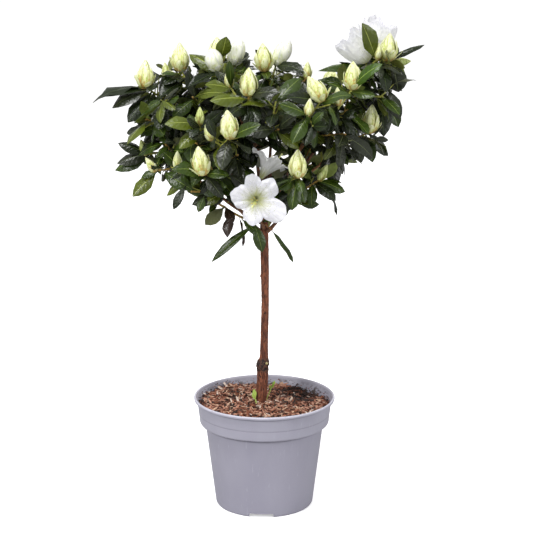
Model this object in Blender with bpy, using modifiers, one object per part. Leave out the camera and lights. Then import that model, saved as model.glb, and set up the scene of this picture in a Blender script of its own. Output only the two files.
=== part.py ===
"""A white-flowered rhododendron grown as a small standard in a plastic nursery pot.

One bare trunk rises from the potting mix and breaks into boughs. Each bough carries one mass of
foliage: three-sided twigs that branch from one stem, with whorls of leaves, buds and blooms fused on.
Metres, +Z up. The origin is on the pot's axis, at the level of its underside.
"""

import math
import random

import bmesh
import bpy
from mathutils import Matrix, Vector
from mathutils.bvhtree import BVHTree

# --- Pot ---------------------------------------------------------------------
POT_HEIGHT = 0.118
RIM_RADIUS = 0.0752
WALL = 0.0013
FOOT_RADIUS = 0.0521
FOOT_HEIGHT = 0.0034
FLOOR_TOP = 0.0048
BODY_TOP_RADIUS = 0.0631
BAND_BOTTOM = 0.0902
BAND_RADIUS = 0.0686
RIM_BOTTOM = 0.1140
BAND_FLARE = 0.0026
EDGE_ROUNDING = 0.0012
CENTRE_PAD_RADIUS = 0.012
POT_SEGMENTS = 32
NOTCH_COUNT = 3
NOTCH_WIDTH = 0.027
NOTCH_TOP_SHARE = 0.92
NOTCH_REACH = 0.012
NOTCH_TURN = math.radians(-93.5)
DRAIN_COUNT = 6
DRAIN_RADIUS = 0.0035
DRAIN_RING = 0.034
DRAIN_CUT = 0.006

# --- Potting mix -------------------------------------------------------------
SOIL_TOP = 0.1080
SOIL_EDGE_TOP = 0.1062
SOIL_LEDGE = 0.0020
SEAT_GAP = 0.0003

# --- Trunk -------------------------------------------------------------------
# height above the potting mix, sideways shift in X and Y, radius
TRUNK_STATIONS = (
    (0.000, -0.0026, 0.000, 0.0076),
    (0.006, -0.0026, 0.000, 0.0063),
    (0.030, -0.0020, 0.000, 0.0060),
    (0.046, -0.0018, 0.000, 0.0057),
    (0.053, -0.0006, 0.000, 0.0044),
    (0.080, 0.0000, 0.000, 0.0041),
    (0.115, 0.0010, 0.001, 0.0040),
    (0.150, 0.0006, 0.001, 0.0043),
    (0.185, 0.0000, 0.000, 0.0046),
    (0.215, 0.0000, 0.001, 0.0042),
    (0.238, 0.0010, 0.002, 0.0034),
)
TRUNK_SIDES_RESOLUTION = 4

# --- Boughs ------------------------------------------------------------------
LOWEST_BOUGH = 0.292
HIGHEST_BOUGH = 0.341
BOUGH_STEP = 0.0035
BOUGH_BASE_RADIUS = 0.0022
LEADER = "centre_left"
LEADER_BASE_RADIUS = 0.0029
LEADER_SHARE = 0.56
BOUGH_TIP_RADIUS = 0.0014
BOUGH_POINTS = 6
BOUGH_SHARES = (0.52, 0.40, 0.62)
BOUGH_SAG = (0.30, 0.45, 0.15, 0.60, 0.80)
BOUGH_SIDES_RESOLUTION = 1

# --- Twigs and leaves ----------------------------------------------------------
STEM_SHARES = (0.45, 0.60, 0.30, 0.80, 0.20)
TWIG_RADIUS = 0.0011
TWIG_TIP_RADIUS = 0.0009
FORK_SHARE = 0.6
DETOUR_WEIGHT = 0.45
NEAREST_FORK = 0.008
TWIG_LAP = 0.0004
SHOOT_SPACING = 0.027
WHORL_LEAVES = 5
BARE_SHOOT_LEAVES = 5
LEAF_LENGTH = (0.032, 0.046)
LEAF_WIDTH_SHARE = 0.44
LEAF_THICKNESS_SHARE = 0.035
LEAF_WIDEST = 0.54
LEAF_ARCH = 0.07
LEAF_START = 0.0024
LEAF_PITCH = 0.0024
LEAF_DROOP = 0.45
LEAF_SPREAD = (math.radians(58), math.radians(98))
LEAF_TRIES = 8
LEAF_TURN = 0.35
SET_NUDGE = 0.12
LEAF_SHRINK = 0.96
LEAF_STALK_SHARE = 0.12
SET_STALK_SHARE = 0.36
LEAF_FACE_RISE = 0.6
LEAF_ROLL = 0.6
LEAF_SINK = 0.0002
GOLDEN_ANGLE = math.radians(137.5)
CLEARANCE = 0.0004
CROWN_HEART = Vector((0.0, 0.0, 0.380))
SHOOT_RISE = 0.35
INNER_SHARE = 0.45
PLACE_TRIES = 400
CROWN_SEED = 41

# --- Buds and blooms: length and greatest radius -----------------------------------
BLOOM_SIZES = {
    "bud": (0.028, 0.0098),
    "small_bud": (0.017, 0.0052),
    "white_bud": (0.031, 0.0094),
    "flower": (0.033, 0.0150),
    "bell": (0.032, 0.0155),
}
BUD_SHOULDER = 0.72
BUD_SINK = 0.0015
PETAL_COUNT = 5
PETAL_FLARE = math.radians(66)
PETAL_TURN = math.radians(-7)
FLOWER_TUBE = 0.018
FLOWER_THROAT = 0.014
FLOWER_MOUTH_SHARE = 0.42
BLOOM_FOOT_SHARE = 1.4
PETAL_WIDTH_SHARE = 0.84
PETAL_THICKNESS_SHARE = 0.05
PETAL_WIDEST = 0.62
PETAL_ARCH = 0.10
CROWN_FLOOR = 0.328
CROWN_FLOOR_START = 0.080
CROWN_FLOOR_SLOPE = 0.9
SET_LEAF_FACE = Vector((0.0, -0.7, 0.7))

UP = (0.0, 0.0, 1.0)

# Each mass of foliage: its middle, how far its shoots spread from there, how many plain shoots fill
# it, and its own shoots. A shoot is what it carries, where, which way it points, and the leaves on
# it that reach a set way, as vectors.
MASSES = {
    "left_tip": {
        "centre": (-0.112, -0.008, 0.434),
        "reach": (0.030, 0.034, 0.022),
        "fill": 3,
        "shoots": (
            ("bud", (-0.121, -0.010, 0.450), (0.03, 0.0, 1.0),
             ((-0.053, -0.008, -0.015), (-0.045, -0.012, -0.006), (-0.033, -0.010, -0.020),
              (-0.017, -0.014, -0.034), (0.008, -0.020, -0.030))),
            (None, (-0.110, 0.010, 0.440), (0.3, 0.2, 1.0),
             ((0.012, -0.010, 0.022), (-0.020, -0.016, -0.024))),
        ),
    },
    "left_top": {
        "centre": (-0.080, 0.008, 0.448),
        "reach": (0.034, 0.038, 0.022),
        "fill": 3,
        "shoots": (
            ("bud", (-0.085, 0.000, 0.466), (-0.04, 0.0, 1.0), ((-0.016, -0.022, -0.012),)),
            ("small_bud", (-0.100, 0.010, 0.456), (-0.1, 0.0, 1.0), ()),
            (None, (-0.072, -0.026, 0.442), (0.3, -0.8, 0.3),
             ((0.042, -0.030, 0.006, 0.30), (-0.020, -0.016, -0.018))),
        ),
    },
    "centre_left": {
        "centre": (-0.038, -0.008, 0.456),
        "reach": (0.034, 0.036, 0.018),
        "fill": 2,
        "shoots": (
            ("bud", (-0.048, -0.022, 0.469), (-0.26, 0.0, 1.0),
             ((-0.028, -0.023, -0.014, 0.28), (-0.028, 0.016, 0.014))),
            ("bud", (-0.048, 0.012, 0.472), (-0.02, 0.1, 1.0), ()),
            ("white_bud", (-0.033, 0.002, 0.471), (0.37, 0.0, 1.0),
             ((-0.006, -0.032, 0.032), (0.014, -0.024, -0.004))),
        ),
    },
    "centre_right": {
        "centre": (0.014, 0.004, 0.452),
        "reach": (0.036, 0.040, 0.018),
        "fill": 3,
        "shoots": (
            ("bud", (0.000, -0.004, 0.467), (-0.06, 0.0, 1.0), ((0.004, -0.026, -0.006),)),
            ("white_bud", (0.012, 0.000, 0.472), (0.54, 0.0, 1.0), ((0.028, -0.024, -0.005),)),
            ("small_bud", (0.043, -0.016, 0.460), (0.05, 0.0, 1.0),
             ((0.024, -0.018, -0.012), (-0.010, -0.026, -0.014))),
        ),
    },
    "centre_front": {
        "centre": (-0.014, -0.060, 0.430),
        "reach": (0.040, 0.030, 0.024),
        "fill": 3,
        "shoots": (
            ("bud", (-0.015, -0.066, 0.450), (0.0, -0.05, 1.0),
             ((0.030, -0.016, 0.004), (-0.038, -0.014, -0.004), (0.010, -0.022, -0.024))),
            ("small_bud", (-0.034, -0.050, 0.456), (-0.15, 0.0, 1.0),
             ((0.000, -0.020, 0.028, 0.26), (-0.024, -0.018, 0.004))),
            (None, (0.014, -0.082, 0.418), (0.4, -0.7, 0.4),
             ((-0.034, -0.012, -0.004), (0.020, -0.012, 0.018))),
        ),
    },
    "right_top": {
        "centre": (0.110, -0.006, 0.452),
        "reach": (0.030, 0.036, 0.024),
        "fill": 3,
        "shoots": (
            ("bell", (0.105, -0.012, 0.478), (-0.77, 0.0, 0.64),
             ((-0.052, -0.020, -0.004, 0.34), (-0.024, -0.018, -0.012))),
            ("bell", (0.113, 0.014, 0.480), (0.16, 0.10, 1.0), ((0.022, 0.012, -0.014),)),
            ("small_bud", (0.114, -0.022, 0.480), (0.06, 0.0, 1.0),
             ((-0.017, -0.012, 0.037), (0.002, -0.020, -0.018))),
            ("bud", (0.124, -0.014, 0.478), (0.10, 0.0, 1.0), ((0.038, 0.004, 0.015, 0.20),)),
            ("small_bud", (0.132, -0.004, 0.474), (1.0, 0.0, 0.10),
             ((0.005, -0.024, -0.026, 0.6), (0.011, -0.008, -0.014))),
            (None, (0.126, 0.006, 0.438), (0.7, -0.2, 0.2),
             ((0.012, -0.004, -0.031), (0.014, -0.012, -0.008), (-0.004, -0.020, -0.038))),
        ),
    },
    "right_front": {
        "centre": (0.064, -0.056, 0.430),
        "reach": (0.036, 0.030, 0.024),
        "fill": 3,
        "shoots": (
            ("bud", (0.057, -0.074, 0.446), (-0.62, 0.0, 1.0),
             ((-0.036, -0.010, 0.004), (0.004, -0.018, -0.030))),
            ("small_bud", (0.073, -0.060, 0.440), (-0.05, 0.0, 1.0), ((-0.012, -0.018, -0.028),)),
            ("bud", (0.088, -0.048, 0.454), (0.0, 0.0, 1.0),
             ((0.028, -0.014, 0.026), (0.022, -0.014, -0.006), (-0.026, -0.010, 0.004))),
            ("small_bud", (0.043, -0.090, 0.434), (0.1, -0.1, 1.0),
             ((-0.030, -0.010, 0.010), (-0.016, -0.014, -0.026))),
        ),
    },
    "left_front": {
        "centre": (-0.046, -0.070, 0.406),
        "reach": (0.034, 0.030, 0.024),
        "fill": 3,
        "shoots": (
            ("small_bud", (-0.063, -0.072, 0.422), (0.0, 0.0, 1.0),
             ((-0.034, -0.014, 0.002), (-0.020, -0.016, -0.022))),
            ("bud", (-0.033, -0.100, 0.413), (-0.10, -0.06, 1.0),
             ((0.030, -0.008, 0.014), (-0.008, -0.020, -0.028))),
            ("small_bud", (-0.052, -0.080, 0.408), (-0.35, 0.0, 1.0), ()),
        ),
    },
    "left_low": {
        "centre": (-0.104, -0.034, 0.380),
        "reach": (0.030, 0.030, 0.022),
        "fill": 2,
        "shoots": (
            ("small_bud", (-0.086, -0.066, 0.377), (0.0, 0.0, 1.0),
             ((-0.004, -0.012, -0.038), (-0.006, -0.004, -0.032))),
            ("small_bud", (-0.110, -0.040, 0.369), (-0.7, 0.0, 1.0),
             ((-0.023, -0.006, -0.025), (-0.014, -0.004, -0.006))),
            ("small_bud", (-0.121, -0.018, 0.382), (-0.3, 0.0, 1.0),
             ((-0.028, 0.000, 0.012), (-0.029, -0.006, -0.008), (-0.032, 0.004, -0.017))),
            (None, (-0.098, 0.000, 0.402), (-0.6, 0.0, 0.6),
             ((-0.030, -0.008, 0.006), (-0.026, -0.010, -0.009))),
        ),
    },
    "left_front_low": {
        "centre": (-0.056, -0.068, 0.366),
        "reach": (0.032, 0.026, 0.018),
        "fill": 2,
        "shoots": (
            ("bud", (-0.060, -0.093, 0.376), (-0.16, -0.04, 1.0),
             ((0.026, -0.009, 0.000), (0.020, -0.006, -0.023), (-0.002, -0.006, -0.035), (-0.030, -0.010, 0.006))),
            (None, (-0.038, -0.062, 0.352), (-0.4, -0.6, 0.1),
             ((-0.022, 0.000, -0.024), (-0.008, 0.004, -0.032), (0.014, 0.008, -0.036), (-0.032, -0.006, -0.014))),
        ),
    },
    "centre_low": {
        "centre": (-0.004, -0.064, 0.362),
        "reach": (0.026, 0.024, 0.014),
        "fill": 1,
        "shoots": (
            ("flower", (-0.008, -0.092, 0.351), (0.0, -1.0, 0.12), ()),
            ("bell", (-0.003, -0.060, 0.366), (0.45, -0.20, 0.85), ((0.034, -0.018, -0.002),)),
        ),
    },
    "right_low": {
        "centre": (0.048, -0.062, 0.366),
        "reach": (0.028, 0.026, 0.018),
        "fill": 3,
        "shoots": (
            ("bud", (0.033, -0.090, 0.373), (0.0, -0.04, 1.0),
             ((0.004, -0.016, -0.013), (-0.006, -0.006, -0.033), (0.009, -0.004, -0.025), (-0.020, -0.008, -0.012))),
            ("small_bud", (0.055, -0.060, 0.364), (0.52, 0.0, 1.0),
             ((0.026, -0.002, -0.012), (0.018, -0.004, -0.036), (0.021, -0.010, -0.016))),
        ),
    },
    "right_mid": {
        "centre": (0.092, -0.022, 0.406),
        "reach": (0.028, 0.030, 0.022),
        "fill": 3,
        "shoots": (
            ("bud", (0.107, -0.022, 0.406), (0.08, 0.0, 1.0),
             ((0.020, 0.008, -0.026), (0.003, -0.008, -0.030), (-0.014, -0.010, -0.027))),
            (None, (0.066, -0.042, 0.392), (0.4, -0.7, 0.3),
             ((0.013, -0.006, -0.025), (-0.006, -0.016, -0.004))),
        ),
    },
    "low_tuft": {
        "centre": (-0.004, -0.036, 0.318),
        "reach": (0.012, 0.008, 0.006),
        "fill": 0,
        "shoots": (
            (None, (-0.012, -0.034, 0.312), (-0.4, -0.7, 0.3),
             ((0.010, -0.002, -0.028), (-0.042, -0.004, -0.038, 0.22))),
            (None, (0.008, -0.030, 0.306), (0.4, -0.7, 0.1), ((0.022, 0.006, -0.036, 0.20),)),
        ),
    },
    "back_left": {
        "centre": (-0.088, 0.066, 0.420),
        "reach": (0.042, 0.038, 0.026),
        "fill": 6,
        "shoots": (
            ("bud", (-0.098, 0.070, 0.432), (-0.10, 0.10, 1.0), ()),
            ("small_bud", (-0.076, 0.096, 0.424), (-0.1, 0.3, 1.0), ()),
        ),
    },
    "back_centre": {
        "centre": (-0.018, 0.080, 0.428),
        "reach": (0.042, 0.036, 0.026),
        "fill": 5,
        "shoots": (
            ("bud", (-0.034, 0.092, 0.440), (0.0, 0.15, 1.0), ()),
            ("white_bud", (0.006, 0.080, 0.436), (0.2, 0.3, 1.0), ()),
            ("bud", (-0.004, 0.110, 0.414), (0.1, 0.5, 1.0), ()),
        ),
    },
    "back_right": {
        "centre": (0.066, 0.068, 0.424),
        "reach": (0.040, 0.038, 0.026),
        "fill": 6,
        "shoots": (
            ("bud", (0.070, 0.084, 0.432), (0.10, 0.2, 1.0), ()),
            ("small_bud", (0.098, 0.060, 0.430), (0.3, 0.2, 1.0), ()),
        ),
    },
    "back_left_low": {
        "centre": (-0.056, 0.064, 0.374),
        "reach": (0.042, 0.032, 0.024),
        "fill": 4,
        "shoots": (
            ("bud", (-0.062, 0.092, 0.386), (-0.1, 0.4, 1.0), ()),
        ),
    },
    "back_right_low": {
        "centre": (0.044, 0.064, 0.370),
        "reach": (0.040, 0.032, 0.024),
        "fill": 4,
        "shoots": (
            ("bud", (0.036, 0.092, 0.380), (0.05, 0.4, 1.0), ()),
        ),
    },
}

COLOURS = {
    "pot_plastic": ((0.352, 0.342, 0.412), 0.55),
    "potting_mix": ((0.130, 0.060, 0.035), 0.95),
    "bark": ((0.085, 0.040, 0.024), 0.85),
    "foliage": ((0.035, 0.075, 0.025), 0.45),
}


def clear_scene():
    for obj in list(bpy.data.objects):
        bpy.data.objects.remove(obj)


def material(name):
    colour, roughness = COLOURS[name]
    made = bpy.data.materials.get(name) or bpy.data.materials.new(name)
    made.use_nodes = True
    shader = made.node_tree.nodes["Principled BSDF"]
    shader.inputs["Base Color"].default_value = (*colour, 1.0)
    shader.inputs["Roughness"].default_value = roughness
    shader.inputs["Metallic"].default_value = 0.0
    return made


def collection(name):
    made = bpy.data.collections.new(name)
    bpy.context.scene.collection.children.link(made)
    return made


def add_mesh(name, bm, home, surface=None):
    mesh = bpy.data.meshes.new(name)
    bm.to_mesh(mesh)
    bm.free()
    obj = bpy.data.objects.new(name, mesh)
    home.objects.link(obj)
    if surface:
        mesh.materials.append(material(surface))
    return obj


def as_cutter(obj):
    obj.hide_render = True
    obj.display_type = "WIRE"
    return obj


def subtract(obj, cutter):
    cut = obj.modifiers.new("cut_" + cutter.name, "BOOLEAN")
    cut.operation = "DIFFERENCE"
    cut.object = cutter
    cut.solver = "EXACT"


def apply_modifiers(obj):
    graph = bpy.context.evaluated_depsgraph_get()
    mesh = bpy.data.meshes.new_from_object(obj.evaluated_get(graph))
    obj.modifiers.clear()
    obj.data = mesh


# --- Pot and potting mix ----------------------------------------------------------
def turned(name, profile, segments, home, surface):
    """A solid of revolution: the profile starts and ends on the axis, outer side top to bottom."""
    bm = bmesh.new()
    points = [bm.verts.new((radius, 0.0, height)) for radius, height in profile]
    for first, second in zip(points, points[1:]):
        bm.edges.new((first, second))
    obj = add_mesh(name, bm, home, surface)
    screw = obj.modifiers.new("turn", "SCREW")
    screw.steps = screw.render_steps = segments
    screw.use_merge_vertices = True
    screw.merge_threshold = 0.00001
    return obj


def inner_wall(height):
    """Radius of the pot's inside at a height between its floor and the band."""
    share = (height - FLOOR_TOP) / (BAND_BOTTOM - FLOOR_TOP)
    return FOOT_RADIUS + share * (BODY_TOP_RADIUS - FOOT_RADIUS) - WALL


def pot_profile():
    band_top = BAND_RADIUS + BAND_FLARE
    inside = (
        (0.0, FLOOR_TOP),
        (inner_wall(FLOOR_TOP) - EDGE_ROUNDING, FLOOR_TOP),
        (inner_wall(FLOOR_TOP + 0.002), FLOOR_TOP + 0.002),
        (inner_wall(BAND_BOTTOM), BAND_BOTTOM),
        (BAND_RADIUS - WALL, BAND_BOTTOM + 0.0016),
        (band_top - WALL, RIM_BOTTOM + 0.0010),
        (band_top + 0.0004, POT_HEIGHT - 0.0006),
    )
    outside = (
        (RIM_RADIUS - EDGE_ROUNDING, POT_HEIGHT),
        (RIM_RADIUS, POT_HEIGHT - EDGE_ROUNDING),
        (RIM_RADIUS - 0.0014, RIM_BOTTOM),
        (band_top, RIM_BOTTOM),
        (BAND_RADIUS, BAND_BOTTOM + 0.0006),
        (BAND_RADIUS - 0.0006, BAND_BOTTOM),
        (BODY_TOP_RADIUS, BAND_BOTTOM - 0.0006),
        (FOOT_RADIUS, 0.0020),
        (FOOT_RADIUS - EDGE_ROUNDING, 0.0),
        (FOOT_RADIUS - 0.0034, 0.0),
        (FOOT_RADIUS - 0.0040, FOOT_HEIGHT),
        (CENTRE_PAD_RADIUS, FOOT_HEIGHT),
        (CENTRE_PAD_RADIUS, 0.0),
        (0.0, 0.0),
    )
    return inside + outside


def foot_notch(turn, cutters):
    """A drainage gap through the foot ring, with sloping ends."""
    top = FOOT_HEIGHT + 0.0002
    bm = bmesh.new()
    bmesh.ops.create_cube(bm, size=1.0)
    bmesh.ops.scale(bm, vec=(NOTCH_REACH, NOTCH_WIDTH, 2 * top), verts=bm.verts)
    for vert in bm.verts:
        if vert.co.z > 0:
            vert.co.y *= NOTCH_TOP_SHARE
    place = Matrix.Rotation(turn, 4, "Z") @ Matrix.Translation((FOOT_RADIUS, 0, 0))
    bmesh.ops.transform(bm, matrix=place, verts=bm.verts)
    return as_cutter(add_mesh("notch", bm, cutters))


def drain_hole(turn, cutters):
    bm = bmesh.new()
    bmesh.ops.create_cone(
        bm, cap_ends=True, segments=8, radius1=DRAIN_RADIUS, radius2=DRAIN_RADIUS, depth=DRAIN_CUT
    )
    centre = Vector((DRAIN_RING * math.cos(turn), DRAIN_RING * math.sin(turn), FOOT_HEIGHT))
    bmesh.ops.translate(bm, vec=centre, verts=bm.verts)
    return as_cutter(add_mesh("drain", bm, cutters))


def build_pot(parts, cutters):
    pot = turned("pot", pot_profile(), POT_SEGMENTS, parts, "pot_plastic")
    for number in range(NOTCH_COUNT):
        subtract(pot, foot_notch(NOTCH_TURN + number * math.tau / NOTCH_COUNT, cutters))
    for number in range(DRAIN_COUNT):
        turn = NOTCH_TURN + (number + 0.5) * math.tau / DRAIN_COUNT
        subtract(pot, drain_hole(turn, cutters))
    return pot


def build_soil(parts):
    bottom = FLOOR_TOP + SEAT_GAP
    ledge = BAND_BOTTOM + SOIL_LEDGE
    profile = (
        (0.0, SOIL_TOP),
        (0.014, SOIL_TOP),
        (0.040, SOIL_TOP + 0.0008),
        (BAND_RADIUS - WALL - SEAT_GAP + 0.0012, SOIL_EDGE_TOP),
        (BAND_RADIUS - WALL - SEAT_GAP, ledge),
        (inner_wall(BAND_BOTTOM) - SEAT_GAP, BAND_BOTTOM + SEAT_GAP),
        (inner_wall(bottom + 0.002) - SEAT_GAP, bottom + 0.002),
        (inner_wall(bottom) - 0.0016, bottom),
        (0.0, bottom),
    )
    return turned("soil", profile, POT_SEGMENTS, parts, "potting_mix")


# --- Trunk and boughs ------------------------------------------------------------
def limb(name, points, radii, resolution, home, surface):
    """A tapering limb: a curve with a bevel and filled caps, made a mesh with its caps welded."""
    data = bpy.data.curves.new(name, "CURVE")
    data.dimensions = "3D"
    data.fill_mode = "FULL"
    data.bevel_depth = 1.0
    data.bevel_resolution = resolution
    data.use_fill_caps = True
    spline = data.splines.new("POLY")
    spline.points.add(len(points) - 1)
    for point, place, radius in zip(spline.points, points, radii):
        point.co = (*place, 1.0)
        point.radius = radius
    guide = bpy.data.objects.new(name + "_line", data)
    home.objects.link(guide)
    graph = bpy.context.evaluated_depsgraph_get()
    mesh = bpy.data.meshes.new_from_object(guide.evaluated_get(graph))
    bm = bmesh.new()
    bm.from_mesh(mesh)
    bmesh.ops.remove_doubles(bm, verts=bm.verts, dist=0.00001)
    made = add_mesh(name, bm, home, surface)
    made.matrix_world = guide.matrix_world
    bpy.data.objects.remove(guide)
    bpy.data.meshes.remove(mesh)
    return made


def trunk_points():
    foot = SOIL_TOP + SEAT_GAP
    return [Vector((x, y, foot + height)) for height, x, y, _ in TRUNK_STATIONS]


def trunk_at(height):
    """Middle of the trunk at a height."""
    points = trunk_points()
    for low, high in zip(points, points[1:]):
        if low.z <= height <= high.z:
            return low.lerp(high, (height - low.z) / (high.z - low.z))
    return points[-1].copy()


def trunk_radius(height):
    foot = SOIL_TOP + SEAT_GAP
    for (low, _, _, thick), (high, _, _, thin) in zip(TRUNK_STATIONS, TRUNK_STATIONS[1:]):
        if foot + low <= height <= foot + high:
            return max(thick, thin)
    return TRUNK_STATIONS[-1][3]


def build_trunk(parts):
    radii = [station[3] for station in TRUNK_STATIONS]
    return limb("trunk", trunk_points(), radii, TRUNK_SIDES_RESOLUTION, parts, "bark")


def bough_points(centre, height, sag, share):
    """A curve from just outside the trunk, out and then up to the near side of a mass."""
    axis = trunk_at(height)
    tip = axis.lerp(centre, share)
    bend = axis.lerp(tip, 0.5)
    bend.z = axis.z + (tip.z - axis.z) * sag
    rise = (bend - axis).normalized().z
    outward = Vector((centre.x - axis.x, centre.y - axis.y, 0)).normalized()
    foot = axis + outward * (trunk_radius(height) + SEAT_GAP + BOUGH_BASE_RADIUS * abs(rise))
    steps = [number / (BOUGH_POINTS - 1) for number in range(BOUGH_POINTS)]
    return [foot * (1 - t) ** 2 + bend * 2 * t * (1 - t) + tip * t**2 for t in steps]


def bough_choices(centre, wanted):
    """Bough curves for one mass, from the height where it would best leave the trunk to the worst."""
    count = int((HIGHEST_BOUGH - LOWEST_BOUGH) / BOUGH_STEP) + 1
    heights = [LOWEST_BOUGH + number * BOUGH_STEP for number in range(count)]
    heights.sort(key=lambda height: abs(height - wanted))
    return [
        bough_points(centre, height, sag, share)
        for share in BOUGH_SHARES
        for height in heights
        for sag in BOUGH_SAG
    ]


def leader_points(centre):
    """The bough that carries the trunk on: it stands on the trunk's flat end and leans to its mass."""
    foot = trunk_points()[-1] + SEAT_GAP * Vector(UP)
    tip = foot.lerp(centre, LEADER_SHARE)
    bend = foot + (tip - foot).length * 0.5 * Vector(UP)
    steps = [number / (BOUGH_POINTS - 1) for number in range(BOUGH_POINTS)]
    return [foot * (1 - t) ** 2 + bend * 2 * t * (1 - t) + tip * t**2 for t in steps]


def mesh_tree(objects):
    """One search tree over several objects whose meshes are already in world space."""
    meshes = [
        ([vert.co.copy() for vert in obj.data.vertices],
         [list(face.vertices) for face in obj.data.polygons])
        for obj in objects
    ]
    return tree_of(meshes)


def bough_radii(base, wider=0.0):
    shares = [number / (BOUGH_POINTS - 1) for number in range(BOUGH_POINTS)]
    return [base + share * (BOUGH_TIP_RADIUS - base) + wider for share in shares]


def clear_bough(choices, limbs, cutters):
    """The first of some bough curves that keeps clear of the limbs made so far."""
    for points in choices:
        radii = bough_radii(BOUGH_BASE_RADIUS, SEAT_GAP * 0.8)
        probe = limb("probe", points, radii, BOUGH_SIDES_RESOLUTION, cutters, None)
        blocked = mesh_tree([probe]).overlap(limbs)
        bpy.data.objects.remove(probe)
        if not blocked:
            return points
    return None


def build_boughs(parts, cutters, trunk):
    """Every bough as its own solid, clear of the trunk and the others, and where each one ends."""
    lowest_first = sorted(MASSES, key=lambda name: MASSES[name]["centre"][2])
    lowest_first.remove(LEADER)
    points = leader_points(Vector(MASSES[LEADER]["centre"]))
    radii = bough_radii(LEADER_BASE_RADIUS)
    leader = limb("bough_" + LEADER, points, radii, BOUGH_SIDES_RESOLUTION, parts, "bark")
    made = [trunk, leader]
    tips = {LEADER: (points[-1], (points[-1] - points[-2]).normalized())}
    for number, name in enumerate(lowest_first):
        centre = Vector(MASSES[name]["centre"])
        wanted = LOWEST_BOUGH + (HIGHEST_BOUGH - LOWEST_BOUGH) * number / (len(lowest_first) - 1)
        points = clear_bough(bough_choices(centre, wanted), mesh_tree(made), cutters)
        radii = bough_radii(BOUGH_BASE_RADIUS)
        made.append(limb("bough_" + name, points, radii, BOUGH_SIDES_RESOLUTION, parts, "bark"))
        tips[name] = (points[-1], (points[-1] - points[-2]).normalized())
    return tips, mesh_tree(made)


def keep_largest(obj):
    """Keeps the biggest connected piece of a mesh and drops the scraps."""
    bm = bmesh.new()
    bm.from_mesh(obj.data)
    left = set(bm.verts)
    pieces = []
    while left:
        front = [left.pop()]
        piece = set(front)
        while front:
            for edge in front.pop().link_edges:
                for vert in edge.verts:
                    if vert in left:
                        left.discard(vert)
                        piece.add(vert)
                        front.append(vert)
        pieces.append(piece)
    pieces.sort(key=len)
    scraps = [vert for piece in pieces[:-1] for vert in piece]
    if scraps:
        bmesh.ops.delete(bm, geom=scraps, context="VERTS")
        bm.to_mesh(obj.data)
    bm.free()


# --- Where the shoots grow ------------------------------------------------------------
def plan_shoots():
    """For each mass, its own shoots and the plain ones that fill its space, well apart from all others."""
    dice = random.Random(CROWN_SEED)
    taken = [Vector(place) for mass in MASSES.values() for _, place, _, _ in mass["shoots"]]
    plan = {}
    for name, mass in MASSES.items():
        shoots = [
            {"kind": kind, "place": Vector(place), "aim": Vector(aim).normalized(), "leaves": leaves}
            for kind, place, aim, leaves in mass["shoots"]
        ]
        wanted = len(shoots) + mass["fill"]
        for _ in range(PLACE_TRIES):
            if len(shoots) == wanted:
                break
            offset = Vector([dice.uniform(-1, 1) for _ in range(3)])
            if not INNER_SHARE < offset.length < 1.0:
                continue
            reach = mass["reach"]
            place = Vector(mass["centre"]) + Vector([offset[i] * reach[i] for i in range(3)])
            if min((place - other).length for other in taken) < SHOOT_SPACING:
                continue
            aim = (place - CROWN_HEART).normalized() + SHOOT_RISE * Vector(UP)
            shoots.append({"kind": None, "place": place, "aim": aim.normalized(), "leaves": ()})
            taken.append(place)
        plan[name] = shoots
    return plan


# --- Leaves, buds and blooms as small closed meshes --------------------------------------
def aimed(place, along, face):
    """Matrix that puts a piece's own +Y along a direction, with its +Z as near the face as it can be."""
    y_axis = along.normalized()
    z_axis = face - y_axis * face.dot(y_axis)
    if z_axis.length < 0.001:
        z_axis = y_axis.orthogonal()
    z_axis.normalize()
    x_axis = y_axis.cross(z_axis)
    turn = Matrix((x_axis, y_axis, z_axis)).transposed().to_4x4()
    return Matrix.Translation(place) @ turn


def blade(length, width, thickness, widest, arch):
    """A six-faced leaf or petal, keeled below, from its root at the origin to its tip on +Y."""
    bm = bmesh.new()
    bmesh.ops.create_uvsphere(bm, u_segments=3, v_segments=2, radius=1.0)
    for vert in bm.verts:
        x, y, z = vert.co
        if abs(z) > 0.5:
            vert.co = (0.0, length if z > 0 else 0.0, 0.0)
        else:
            vert.co = (-y * width / math.sqrt(3), widest * length, arch * length - x * thickness)
    return bm


def bud_shape(length, radius):
    """A pointed, six-sided bud along +Y, its root sunk a little behind the origin."""
    bm = bmesh.new()
    bmesh.ops.create_uvsphere(bm, u_segments=6, v_segments=3, radius=1.0)
    for vert in bm.verts:
        x, y, z = vert.co
        swell = radius * (BUD_SHOULDER if z > 0 else 1.0) / math.hypot(x, y) if abs(z) < 0.9 else 0.0
        along = -BUD_SINK + (length + BUD_SINK) * (z + 1) / 2
        vert.co = (x * swell, along, y * swell)
    bmesh.ops.recalc_face_normals(bm, faces=bm.faces)
    return bm


def tube_shape(length, radius1, radius2, sides):
    """A cone from the origin along +Y."""
    bm = bmesh.new()
    bmesh.ops.create_cone(
        bm, cap_ends=True, segments=sides, radius1=radius1, radius2=radius2, depth=length
    )
    bmesh.ops.rotate(bm, matrix=Matrix.Rotation(-math.pi / 2, 3, "X"), verts=bm.verts)
    bmesh.ops.translate(bm, vec=(0, length / 2, 0), verts=bm.verts)
    return bm


def triangles(bm):
    """World points and faces of a small mesh, for the clearance tests."""
    bm.verts.index_update()
    return [vert.co.copy() for vert in bm.verts], [[v.index for v in f.verts] for f in bm.faces]


def tree_of(meshes):
    points, faces = [], []
    for some_points, some_faces in meshes:
        start = len(points)
        points += some_points
        faces += [[start + index for index in face] for face in some_faces]
    return BVHTree.FromPolygons(points, faces)


def twig_piece(start, end, radius1, radius2):
    """A straight three-sided twig, drawn a little past its end so that it sinks into what it meets."""
    bm = tube_shape((end - start).length + TWIG_LAP, radius1, radius2, 3)
    bmesh.ops.transform(bm, matrix=aimed(start, end - start, Vector(UP)), verts=bm.verts)
    return bm


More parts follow.
